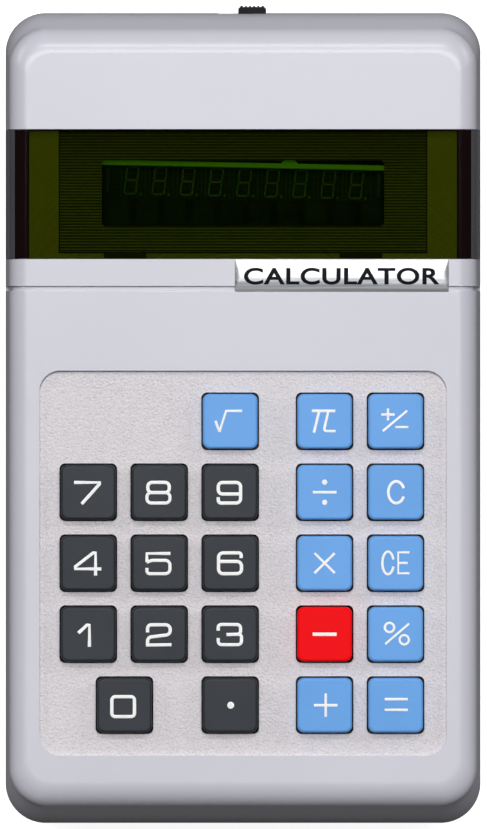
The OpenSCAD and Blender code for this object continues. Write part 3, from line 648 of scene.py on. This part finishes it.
UPPER = dict(lean=(0.7, 2.6, 2.9), bow=(1.4, 2.6, 1.4), round=(3.3, 4.3, 4.1), high=3.6, loss=2.8)
LOWER = dict(lean=(0.5, 1.0, 1.0), bow=(1.0, 1.0, 1.0), round=(2.0, 2.4, 2.4), high=2.6, loss=2.0)


def case_loop(bm, z, insets, r):
    """One level of the case, pulled in at its sides, display end and key end."""
    side, top, low = insets
    return rounded_loop(bm, CASE_W - 2 * side, CASE_L - top - low, r, z, (0, (low - top) / 2), 12)


def hollowless(rises, pulls):
    """Lowest line under a profile that never bends inwards."""
    taut = list(pulls)
    for i, rise in enumerate(rises):
        for j in range(i):
            for k in range(i + 1, len(rises)):
                share = (rise - rises[j]) / (rises[k] - rises[j])
                taut[i] = min(taut[i], pulls[j] + (pulls[k] - pulls[j]) * share)
    return taut


def case_form(bm, form, edge_z, start_z, up, inset=0.0, drop=0.0, steps=14, rows=8):
    """Solid half of the case: a bowed wall that runs smoothly into an elliptical round."""
    tall = abs(start_z - edge_z)
    rises = [tall * i / rows for i in range(rows)]
    radii = [CORNER_R - inset] * rows
    pulls = [[lean * (i / rows) ** bow for i in range(rows)]
             for lean, bow in zip(form["lean"], form["bow"])]
    for i in range(steps + 1):
        a = math.pi / 2 * i / steps
        rises.append(tall + (form["high"] - drop) * math.sin(a) + 0.0001 * i)
        radii.append(CORNER_R - inset - form["loss"] * i / steps)
        for side in range(3):
            pulls[side].append(form["lean"][side] + form["round"][side] * (1 - math.cos(a)))
    pulls = [hollowless(rises, side) for side in pulls]
    loft(bm, [case_loop(bm, edge_z + up * (rise - 0.0001 * max(0, i - rows)),
                        [inset + side[i] for side in pulls], r)
              for i, (rise, r) in enumerate(zip(rises, radii))])


def upper_form(bm, inset=0.0, drop=0.0):
    case_form(bm, UPPER, PARTING_Z, FACE_Z - UPPER["high"], 1, inset, drop)


def lower_form(bm, inset=0.0):
    case_form(bm, LOWER, PARTING_Z, BACK_Z + LOWER["high"], -1, inset)


def window_profile(half_in, sill, foot):
    """Outline that saddles the case: open below, between its two legs."""
    wide = CASE_W
    return [(-wide, foot), (-half_in, foot), (-half_in, sill), (half_in, sill), (half_in, foot),
            (wide, foot), (wide, FACE_Z + 3), (-wide, FACE_Z + 3)]


# ---------- upper half ----------

def upper_cavity(bm):
    low_r = CORNER_R - 2
    loops = [case_loop(bm, PARTING_Z - 1, (2, 2, 2), low_r),
             case_loop(bm, ROOF_Z, (2.6, 5.5, 6.2), low_r - 1)]
    loft(bm, loops)


def key_wells(bm):
    for name in KEYS:
        low, high = box_mm(name)
        middle = ((low.x + high.x) / 2, (low.y + high.y) / 2)
        side = high.x - low.x - 0.9
        loft(bm, [rounded_loop(bm, side, side, 0.95, z, middle, 6) for z in (ROOF_Z - 1, FACE_Z + 1)])


def panel_well(bm):
    middle = (0, (PANEL_LOW + PANEL_HIGH) / 2)
    size = (PANEL_W, PANEL_HIGH - PANEL_LOW)
    loft(bm, [rounded_loop(bm, *size, 3.4, z, middle, 10) for z in (PANEL_Z, FACE_Z + 2)])


def panel_moat():
    """Cutter for the dark line round the display end of the panel."""
    middle = (0, (PANEL_LOW + PANEL_HIGH) / 2)
    size = (PANEL_W, PANEL_HIGH - PANEL_LOW)
    cutter = shape(lambda bm: loft(bm, [rounded_loop(bm, *size, 3.4, z, middle, 10)
                                        for z in (PANEL_Z - 0.6, FACE_Z + 2)]))
    below = (0, middle[1] - 0.35)
    carve(cutter, shape(lambda bm: loft(bm, [rounded_loop(bm, size[0] + 0.02, size[1], 3.4, z, below, 10)
                                             for z in (PANEL_Z - 2, FACE_Z + 3)])))
    return cutter


def strip_groove():
    """Cutter for the groove that runs over the face and down both sides."""
    ring = shape(lambda bm: solid_box(bm, (-60, GROOVE_LOW + 0.2, PARTING_Z - 2),
                                      (60, GROOVE_TOP, FACE_Z + 2)))
    carve(ring, shape(lambda bm: upper_form(bm, 0.5, 0.5)))
    return ring


def build_upper():
    shell = shape(upper_form)
    zone = (WINDOW_LOW.y - 1.7, WINDOW_HIGH.y + 1.7)
    cavity = shape(upper_cavity)
    carve(cavity, shape(lambda bm: solid_box(bm, (-60, zone[0], 0), (60, zone[1], FACE_Z + 5))))
    carve(shell, cavity)
    carve(shell, shape(lambda bm: solid_box(
        bm, (-33.6, zone[0] - 0.5, 0), (33.6, zone[1] + 0.5, SADDLE_Z - 1.65))))
    profile = window_profile(SADDLE_X - 0.06, SADDLE_Z, PARTING_Z - 3)
    carve(shell, shape(lambda bm: prism(bm, profile, "y", WINDOW_LOW.y - 0.06,
                                        WINDOW_HIGH.y + 0.06)))
    carve(shell, strip_groove())
    slope = [(GROOVE_LOW, FACE_Z), (GROOVE_TOP - 0.1, FACE_Z - 0.5),
             (GROOVE_TOP - 0.1, FACE_Z + 1), (GROOVE_LOW, FACE_Z + 1)]
    carve(shell, shape(lambda bm: prism(bm, slope, "x", -50, 50)))
    carve(shell, shape(lambda bm: solid_box(bm, (-60, GROOVE_TOP - 0.3, FACE_Z - 0.85),
                                            (60, GROOVE_TOP, FACE_Z + 1))))
    carve(shell, shape(panel_well))
    carve(shell, panel_moat())
    carve(shell, shape(key_wells))
    plate_low, plate_high = box_mm("nameplate")
    carve(shell, shape(lambda bm: solid_box(
        bm, (plate_low.x - 0.06, plate_low.y - 0.06, plate_low.z),
        (plate_high.x + 0.06, WINDOW_LOW.y, FACE_Z + 2))))
    mask_low, mask_high = box_mm("display_mask")
    carve(shell, shape(lambda bm: solid_box(
        bm, (mask_low.x - 0.15, MASK_LOW - 0.15, 12), (mask_high.x + 0.15, MASK_HIGH + 0.15, 26))))
    for x in (-19.3, 19.3):
        carve(shell, shape(lambda bm: solid_box(
            bm, (x - 3.5, mask_low.y - 0.1, SADDLE_Z - 0.8), (x + 3.5, mask_high.y + 0.1, 26))))
    carve(shell, shape(lambda bm: solid_box(bm, (-4.05, CASE_L / 2 - 8, PARTING_Z - 1),
                                            (4.05, CASE_L / 2 + 3, PARTING_Z + 3.85))))

    def pick(face):
        c = face.calc_center_median()
        flat = abs(face.normal.z) > 0.9
        if flat and abs(c.z - PANEL_Z) < 0.02 and PANEL_LOW < c.y < PANEL_HIGH:
            return 1
        inside = WINDOW_LOW.y - 0.05 < c.y < WINDOW_HIGH.y + 0.05 and abs(c.x) < 35.5
        return 2 if inside else 0

    def keep(edge):
        return all(v.co.z > ROOF_Z + 0.4 or abs(v.co.x) > 36 for v in edge.verts)

    return piece("front_shell", shell, "case", [CASE, PANEL, SHELF], ["front_case"],
                 "case_plastic", pick, 0.1, keep)


def build_window():
    solid = shape(lambda bm: upper_form(bm, 0.0, 0.25))
    profile = window_profile(SADDLE_X, SADDLE_Z, PARTING_Z + 0.1)
    carve(solid, shape(lambda bm: prism(bm, profile, "y", WINDOW_LOW.y, WINDOW_HIGH.y)),
          "INTERSECT")

    def pick(face):
        return 1 if abs(face.normal.x) > 0.5 and abs(face.calc_center_median().x) > EDGE_X else 0

    return piece("window_sheet", solid, "case", [WINDOW, EDGE], ["display_window"],
                 "window_plastic", pick, 0.12)


# ---------- lower half ----------

def build_lower():
    shell = shape(lower_form)

    def cavity(bm):
        loft(bm, [case_loop(bm, BACK_Z + 2, (2.5, 3, 3), CORNER_R - 3),
                  case_loop(bm, PARTING_Z + 1, (2, 2, 2), CORNER_R - 2)])

    carve(shell, shape(cavity))
    bay = shape(lambda bm: solid_box(bm, (-BAY_X - 1.2, -61.7, BACK_Z + 1),
                                     (BAY_X + 1.2, -3.8, 17.9)))
    carve(shell, bay, "UNION")
    carve(shell, shape(lambda bm: solid_box(bm, (-BAY_X - 1.2, -65, 6.1), (BAY_X + 1.2, -60.5, 7.3))),
          "UNION")
    carve(shell, shape(lambda bm: solid_box(bm, (-BAY_X, -60.5, -3), (BAY_X, -5, 16.9))))
    wide = BAY_X + 0.1
    carve(shell, shape(lambda bm: solid_box(bm, (-wide, -80, -4), (wide, -4.5, BACK_Z + 0.72))))
    carve(shell, shape(lambda bm: solid_box(bm, (-wide - 0.9, -80, BACK_Z + 0.7),
                                            (wide + 0.9, -4.5, BACK_Z + 1.6))))
    carve(shell, shape(lambda bm: solid_box(bm, (-wide, -80, -5), (wide, -61.7, 6.1))))
    carve(shell, shape(lambda bm: solid_box(bm, (-4.2, -5, BACK_Z + 0.7), (4.2, -2.8, BACK_Z + 1.6))))

    def lip(bm):
        for y0, y1 in ((-50, 22), (50, 56)):
            for s in (-1, 1):
                xs = sorted((s * 35.8, s * 36.7))
                solid_box(bm, (xs[0], y0, PARTING_Z - 1), (xs[1], y1, PARTING_Z + 1.4))

    carve(shell, shape(lip), "UNION")

    def holes(bm):
        for x in (-33.6, 33.6):
            for y in (-58.6, 58):
                cylinder(bm, x, y, -2, 4.6, 2.35)

    carve(shell, shape(holes))

    def keep(edge):
        return all(v.co.z < BACK_Z + 6 and abs(v.co.x) > BAY_X - 0.5 or v.co.z < BACK_Z + 0.3
                   for v in edge.verts)

    return piece("rear_shell", shell, "case", [CASE], ["rear_case"], "case_plastic", None, 0.1,
                 keep)


def build_cover():
    high = box_mm("battery_cover")[1]
    solid = shape(lower_form)
    body = shape(lambda bm: solid_box(bm, (-BAY_X, -90, -3), (BAY_X, high.y - 1.6, BACK_Z + 1.5)))
    carve(body, shape(lambda bm: solid_box(bm, (-BAY_X - 0.9, -89, BACK_Z + 0.78),
                                           (BAY_X + 0.9, high.y - 2.6, BACK_Z + 1.5))), "UNION")
    carve(body, shape(lambda bm: solid_box(bm, (-BAY_X, -90, -4), (BAY_X, -61.8, 6))), "UNION")
    carve(body, shape(lambda bm: solid_box(bm, (-4, high.y - 3, BACK_Z + 0.78),
                                           (4, high.y, BACK_Z + 1.5))), "UNION")
    carve(solid, body, "INTERSECT")
    carve(solid, shape(lambda bm: solid_box(bm, (-27.5, 1.9 - CASE_L / 2, BACK_Z + 1.5),
                                            (27.5, -60, 8))))

    def grip(bm):
        for i in range(7):
            y = -21.6 + 1.7 * i
            loft(bm, [rounded_loop(bm, 16 + k, 0.8 + k, 0.39, BACK_Z + z, (0, y), 5)
                      for k, z in ((0.0, 0.45), (0.2, -0.5))])
        matrix = Matrix.Translation((0, -27, BACK_Z)) @ Matrix.Rotation(math.radians(-90), 4, "Z")
        bmesh.ops.create_cone(bm, cap_ends=True, segments=3, radius1=4, radius2=4, depth=0.9,
                              matrix=matrix)

    carve(solid, shape(grip))
    return piece("battery_lid", solid, "cover", [CASE], ["battery_cover"], "case_plastic", None,
                 0.08)


def build_feet():
    def discs(bm):
        for x in (-33.6, 33.6):
            for y in (-58.6, 58):
                for z0, z1, r in ((0.0, BACK_Z, 2.6), (BACK_Z - 0.1, 2.8, 2.3)):
                    cylinder(bm, x, y, z0, z1, r, 48)

    return piece("feet", shape(discs), "case", [FEET], ["rubber_feet"], "black_rubber", None, 0.15)


# ---------- nameplate ----------

def build_plate():
    low, high = box_mm("nameplate")
    w, l = high.x - low.x, high.y - low.y
    middle = ((low.x + high.x) / 2, (low.y + high.y) / 2)
    rise = high.z - FACE_Z

    def crown(y):
        u = min(abs(y - middle[1]) / (l / 2), 1.0)
        return FACE_Z + rise * (1 - u * u) - 0.02

    def crowned(bm):
        loops = [rounded_loop(bm, w, l, 0.12, low.z, middle, 3)]
        for i in range(10):
            u = 1 - 0.1 * i
            loops.append(rounded_loop(bm, w - 2.0 * (1 - u), l * u, 0.12 * u, crown(middle[1] + l * u / 2),
                                      middle, 3))
        loft(bm, loops)

    piece("plate", shape(crowned), "case", [PLATE], ["nameplate"], "brushed_plate")
    text = bpy.data.curves.new("word", "FONT")
    text.body = "CALCULATOR"
    text.align_x = "CENTER"
    text.align_y = "CENTER"
    text.size = 3.7
    text.offset = 0.09
    text.space_character = 1.06
    text.extrude = 0.02
    word = bpy.data.objects.new("word", text)
    bpy.context.scene.collection.objects.link(word)
    graph = bpy.context.evaluated_depsgraph_get()
    mesh = bpy.data.meshes.new_from_object(word.evaluated_get(graph))
    bpy.data.objects.remove(word)
    xs = [v.co.x for v in mesh.vertices]
    ys = [v.co.y for v in mesh.vertices]
    grow = 32.0 / (max(xs) - min(xs))
    centre = (max(ys) + min(ys)) / 2

    def bent(bm):
        bm.from_mesh(mesh)
        for i in range(1, 14):
            everything = bm.verts[:] + bm.edges[:] + bm.faces[:]
            bmesh.ops.bisect_plane(bm, geom=everything, dist=0.0001, plane_no=(0, 1, 0),
                                   plane_co=(0, centre - 1.4 + 0.2 * i, 0))
        for v in bm.verts:
            y = middle[1] - 0.1 + v.co.y - centre
            lift = 0.012 if v.co.z > 0 else -0.05
            v.co = (middle[0] + (v.co.x - (max(xs) + min(xs)) / 2) * grow, y, crown(y) + lift)

    piece("plate_word", shape(bent), "case", [BLACK_INK], (), "black_plastic")


# ---------- keys ----------

def rounded_path(points, r, closed=False, steps=6):
    """Points of a path whose corners are turned to arcs of radius r."""
    out = []
    count = len(points)
    for i, here in enumerate(points):
        p = Vector(here)
        if not closed and i in (0, count - 1):
            out.append(p)
            continue
        before = (Vector(points[i - 1]) - p)
        after = (Vector(points[(i + 1) % count]) - p)
        half = before.angle(after) / 2
        if half > math.radians(89):
            out.append(p)
            continue
        reach = min(r / math.tan(half), before.length * 0.499, after.length * 0.499)
        bow = reach * math.tan(half)
        centre = p + (before.normalized() + after.normalized()).normalized() * bow / math.sin(half)
        start = p + before.normalized() * reach - centre
        sweep = (p + after.normalized() * reach - centre)
        total = math.atan2(start.x * sweep.y - start.y * sweep.x, start.dot(sweep))
        for k in range(steps + 1):
            out.append(centre + Matrix.Rotation(total * k / steps, 2) @ start)
    return out


def ellipse(cx, cy, rx, ry, start=0.0, end=360.0, steps=28):
    count = steps if end - start < 360 else steps - 1
    return [(cx + rx * math.cos(math.radians(start + (end - start) * i / steps)),
             cy + ry * math.sin(math.radians(start + (end - start) * i / steps)))
            for i in range(count + 1)]


def legend(name, paths, width, middle, top):
    """Raised strokes on a key: tubes along the paths, pressed almost flat."""
    curve = bpy.data.curves.new(name, "CURVE")
    curve.dimensions = "3D"
    curve.bevel_depth = width / 2
    curve.bevel_resolution = 2
    curve.use_fill_caps = True
    for order, (points, closed, own) in enumerate(paths):
        spline = curve.splines.new("POLY")
        spline.points.add(len(points) - 1)
        for target, p in zip(spline.points, points):
            target.co = (p[0], p[1], -0.06 * order * width, 1.0)
            target.radius = (own or width) / width
        spline.use_cyclic_u = closed
    scratch = bpy.data.objects.new("scratch", curve)
    bpy.context.scene.collection.objects.link(scratch)
    graph = bpy.context.evaluated_depsgraph_get()
    mesh = bpy.data.meshes.new_from_object(scratch.evaluated_get(graph))
    bpy.data.objects.remove(scratch)
    flat = 0.045
    mesh.transform(Matrix.Diagonal((1.0, 1.0, flat / (width / 2), 1.0)))
    mesh.transform(Matrix.Translation((middle[0], middle[1], top - flat)))
    source = bpy.data.objects.new("scratch", mesh)
    bpy.context.scene.collection.objects.link(source)
    return source


def line(*points):
    return (list(points), False, None)


def bend(*points, r=0.7, closed=False):
    return (rounded_path(points, r, closed), closed, None)


def ring(cx, cy, r):
    return (ellipse(cx, cy, r, r), True, None)


def arc(cx, cy, rx, ry, start, end):
    return (ellipse(cx, cy, rx, ry, start, end), False, None)


def dot(cx, cy, r):
    """A filled spot: a stroke as wide as the spot's radius, bent round its own middle."""
    return (ellipse(cx, cy, r / 2, r / 2, steps=20), True, r * 1.04)


LEGENDS = {
    "key_0": (0.63, [bend((-2.05, -1.85), (1.65, -1.85), (1.65, 1.4), (-2.05, 1.4), r=0.55,
                          closed=True)]),
    "key_1": (0.63, [line((0.2, -2.05), (0.2, 1.5), (-0.2, 1.5), (-1.6, 0.2))]),
    "key_2": (0.63, [bend((-1.9, 0.3), (-1.9, 1.55), (1.8, 1.55), (1.8, -0.05), (-1.9, -0.5),
                          (-1.9, -1.75), r=0.75),
                     line((-2.15, -1.75), (2.0, -1.7))]),
    "key_3": (0.63, [bend((-1.95, 0.6), (-1.95, 1.6), (1.7, 1.6), (1.7, 0.0), (-0.6, -0.05), r=0.6),
                     bend((0.9, -0.02), (1.85, -0.02), (1.85, -1.7), (-1.95, -1.7), (-1.95, -0.6),
                          r=0.6)]),
    "key_4": (0.63, [line((1.2, -2.0), (1.2, 1.72), (0.85, 1.72), (-2.1, -0.55), (-2.1, -0.92),
                          (2.15, -0.92))]),
    "key_5": (0.63, [line((1.85, 1.6), (-2.0, 1.6), (-2.0, 0.2)),
                     bend((-2.05, 0.15), (-1.2, 0.48), (1.75, 0.48), (1.75, -1.7), (-2.0, -1.7),
                          (-2.0, -0.75), r=0.75)]),
    "key_6": (0.63, [bend((1.8, 0.85), (1.8, 1.7), (-1.9, 1.7), (-1.9, -1.7), (1.85, -1.7),
                          (1.85, 0.3), (-1.8, 0.3), r=0.75)]),
    "key_7": (0.63, [line((-2.3, 1.6), (1.85, 1.6), (1.85, 1.35), (-1.05, -1.9))]),
    "key_8": (0.63, [bend((-1.85, -0.05), (1.65, -0.05), (1.65, 1.62), (-1.85, 1.62), closed=True),
                     bend((-2.0, -1.75), (1.75, -1.75), (1.75, -0.05), (-2.0, -0.05), closed=True)]),
    "key_9": (0.63, [bend((-1.95, -0.8), (-1.95, -1.75), (1.7, -1.75), (1.7, 1.6), (-1.95, 1.6),
                          (-1.95, -0.28), (1.6, -0.28))]),
    "key_point": (0.63, [dot(0.08, 0.0, 0.60)]),
    "key_square_root": (0.50, [line((-2.4, 0.1), (-1.8, -1.6), (-1.7, -1.6), (-0.65, 1.7),
                                    (1.95, 1.7))]),
    "key_pi": (0.53, [line((-2.1, 1.7), (1.75, 1.7)), line((-0.9, 1.65), (-1.75, -1.85)),
                      bend((0.6, 1.65), (-0.15, -1.6), (1.8, -1.6), r=0.35)]),
    "key_sign_change": (0.48, [line((-2.35, 1.1), (-0.15, 1.1)), line((-1.25, 0.15), (-1.25, 2.1)),
                               line((-2.1, -1.6), (1.9, 1.75)), line((-0.05, -0.95), (2.1, -0.95))]),
    "key_divide": (0.50, [line((-1.95, 0), (1.95, 0)), dot(0.0, 1.65, 0.48), dot(0.0, -1.65, 0.48)]),
    "key_clear": (0.53, [arc(0.1, 0.0, 1.3, 1.78, 22, 338)]),
    "key_clear_entry": (0.47, [arc(-1.25, 0.05, 0.92, 1.85, 18, 342),
                               line((2.25, 1.78), (0.42, 1.78), (0.42, -1.65), (2.25, -1.65)),
                               line((0.42, 0.05), (2.0, 0.05))]),
    "key_multiply": (0.47, [line((-1.65, -1.6), (1.65, 1.65)), line((-1.65, 1.65), (1.65, -1.6))]),
    "key_minus": (0.64, [line((-1.95, 0), (1.95, 0))]),
    "key_percent": (0.45, [ring(-1.0, 1.1, 0.76), ring(1.4, -0.9, 0.76),
                           line((-1.7, -1.6), (2.2, 1.75))]),
    "key_plus": (0.50, [line((-1.75, 0), (2.1, 0)), line((0.17, -1.9), (0.17, 1.95))]),
    "key_equals": (0.50, [line((-1.8, 1.0), (2.0, 1.0)), line((-1.8, -0.75), (2.0, -0.75))]),
}


def build_key(name):
    low, high = box_mm(name)
    middle = ((low.x + high.x) / 2, (low.y + high.y) / 2)
    skirt = high.x - low.x
    side = skirt - 1.4
    top = high.z - 0.03
    flange = low.z + 0.3
    fillet = 0.4

    def cap(bm):
        loops = [rounded_loop(bm, skirt, skirt, 1.3, z, middle, 6) for z in (flange, flange + 0.75)]
        loops.append(rounded_loop(bm, side, side, 1.15, flange + 0.8, middle, 6))
        for i in range(6):
            a = math.pi / 2 * i / 5
            pull = fillet * (1 - math.cos(a))
            z = top - fillet + fillet * math.sin(a)
            loops.append(rounded_loop(bm, side - 2 * pull, side - 2 * pull, 1.15 - pull * 0.6, z,
                                      middle, 6))
        loft(bm, loops)

    if name in DARK_KEYS:
        material, slot = DARK_KEY, "dark_key_plastic"
    elif name in BLUE_KEYS:
        material, slot = BLUE_KEY, "blue_key_plastic"
    else:
        material, slot = RED_KEY, "red_key_plastic"
    piece("cap_of_" + name, shape(cap), name + "_cap", [material], [name], slot)
    width, paths = LEGENDS[name]
    strokes = legend(name + "_strokes", paths, width, middle, high.z)
    piece("legend_of_" + name, strokes, name + "_cap", [WHITE_INK], (), slot)


# ---------- stage ----------

def build_stage():
    bm = bmesh.new()
    bmesh.ops.create_grid(bm, x_segments=1, y_segments=1, size=2.5)
    mesh = bpy.data.meshes.new("floor")
    bm.to_mesh(mesh)
    bm.free()
    s = Shader("floor_white")
    tint = s.blend(s.spread(s.noise(3.0, 2.0), 0.3, 0.7), (0.93, 0.93, 0.93), (0.95, 0.95, 0.95))
    seen = s.node("ShaderNodeLightPath")[0]
    paper = s.surface(Base_Color=tint, Roughness=0.9, Emission_Color=(1.0, 1.0, 1.0, 1.0),
                      Emission_Strength=0.9)
    card = s.surface(Base_Color=(0.10, 0.10, 0.10), Roughness=0.9)
    mesh.materials.append(s.finish(s.node("ShaderNodeMixShader", None, {0: seen, 1: card, 2: paper})[0]))
    mesh.transform(Matrix.Translation((0, 0, -0.05 * MM)))
    floor = bpy.data.objects.new("floor", mesh)
    bpy.context.scene.collection.objects.link(floor)


def area_light(name, place, aim, size, power, colour=(1.0, 1.0, 1.0), size_y=None):
    data = bpy.data.lights.new(name, "AREA")
    data.shape = "RECTANGLE"
    data.size = size
    data.size_y = size_y or size
    data.energy = power
    data.color = colour
    lamp = bpy.data.objects.new(name, data)
    lamp.location = place
    lamp.rotation_euler = (Vector(aim) - Vector(place)).to_track_quat("-Z", "Y").to_euler()
    bpy.context.scene.collection.objects.link(lamp)


def from_sky(name, turn, lift, far, size, power, size_y=None):
    """A lamp at a compass turn from the display end and a height above the horizon, in degrees."""
    a = math.radians(turn)
    e = math.radians(lift)
    place = Vector((math.sin(a) * math.cos(e), math.cos(a) * math.cos(e), math.sin(e))) * far
    area_light(name, place, (0, 0, 0.02), size, power, size_y=size_y)


def build_light():
    world = bpy.data.worlds.new("studio")
    bpy.context.scene.world = world
    world.use_nodes = True
    back = world.node_tree.nodes["Background"]
    back.inputs[0].default_value = (1.0, 1.0, 1.0, 1.0)
    back.inputs[1].default_value = 0.03
    from_sky("high_bank", 0, 80, 2.5, 2.2, 39.5, size_y=0.46)
    from_sky("sheen_bank", 0, 58, 2.5, 0.9, 13.0, size_y=0.16)
    from_sky("left_bank", -62, 24, 2.4, 1.0, 9.0, size_y=0.6)
    from_sky("right_bank", 62, 24, 2.4, 1.0, 9.0, size_y=0.6)


def build_camera():
    data = bpy.data.cameras.new("view")
    camera = bpy.data.objects.new("view", data)
    bpy.context.scene.collection.objects.link(camera)
    far = 3.0
    frame_high = 0.13551
    data.sensor_width = 36.0
    data.lens = 36.0 * far / frame_high
    data.clip_end = 20.0
    camera.location = (0.00008, 0.00057, FACE_Z * MM + far)
    bpy.context.scene.camera = camera


build_upper()
build_window()
build_lower()
build_cover()
build_feet()
build_plate()
for key in KEYS:
    build_key(key)
build_stage()
build_light()
build_camera()
bpy.context.scene.view_settings.view_transform = "Standard"
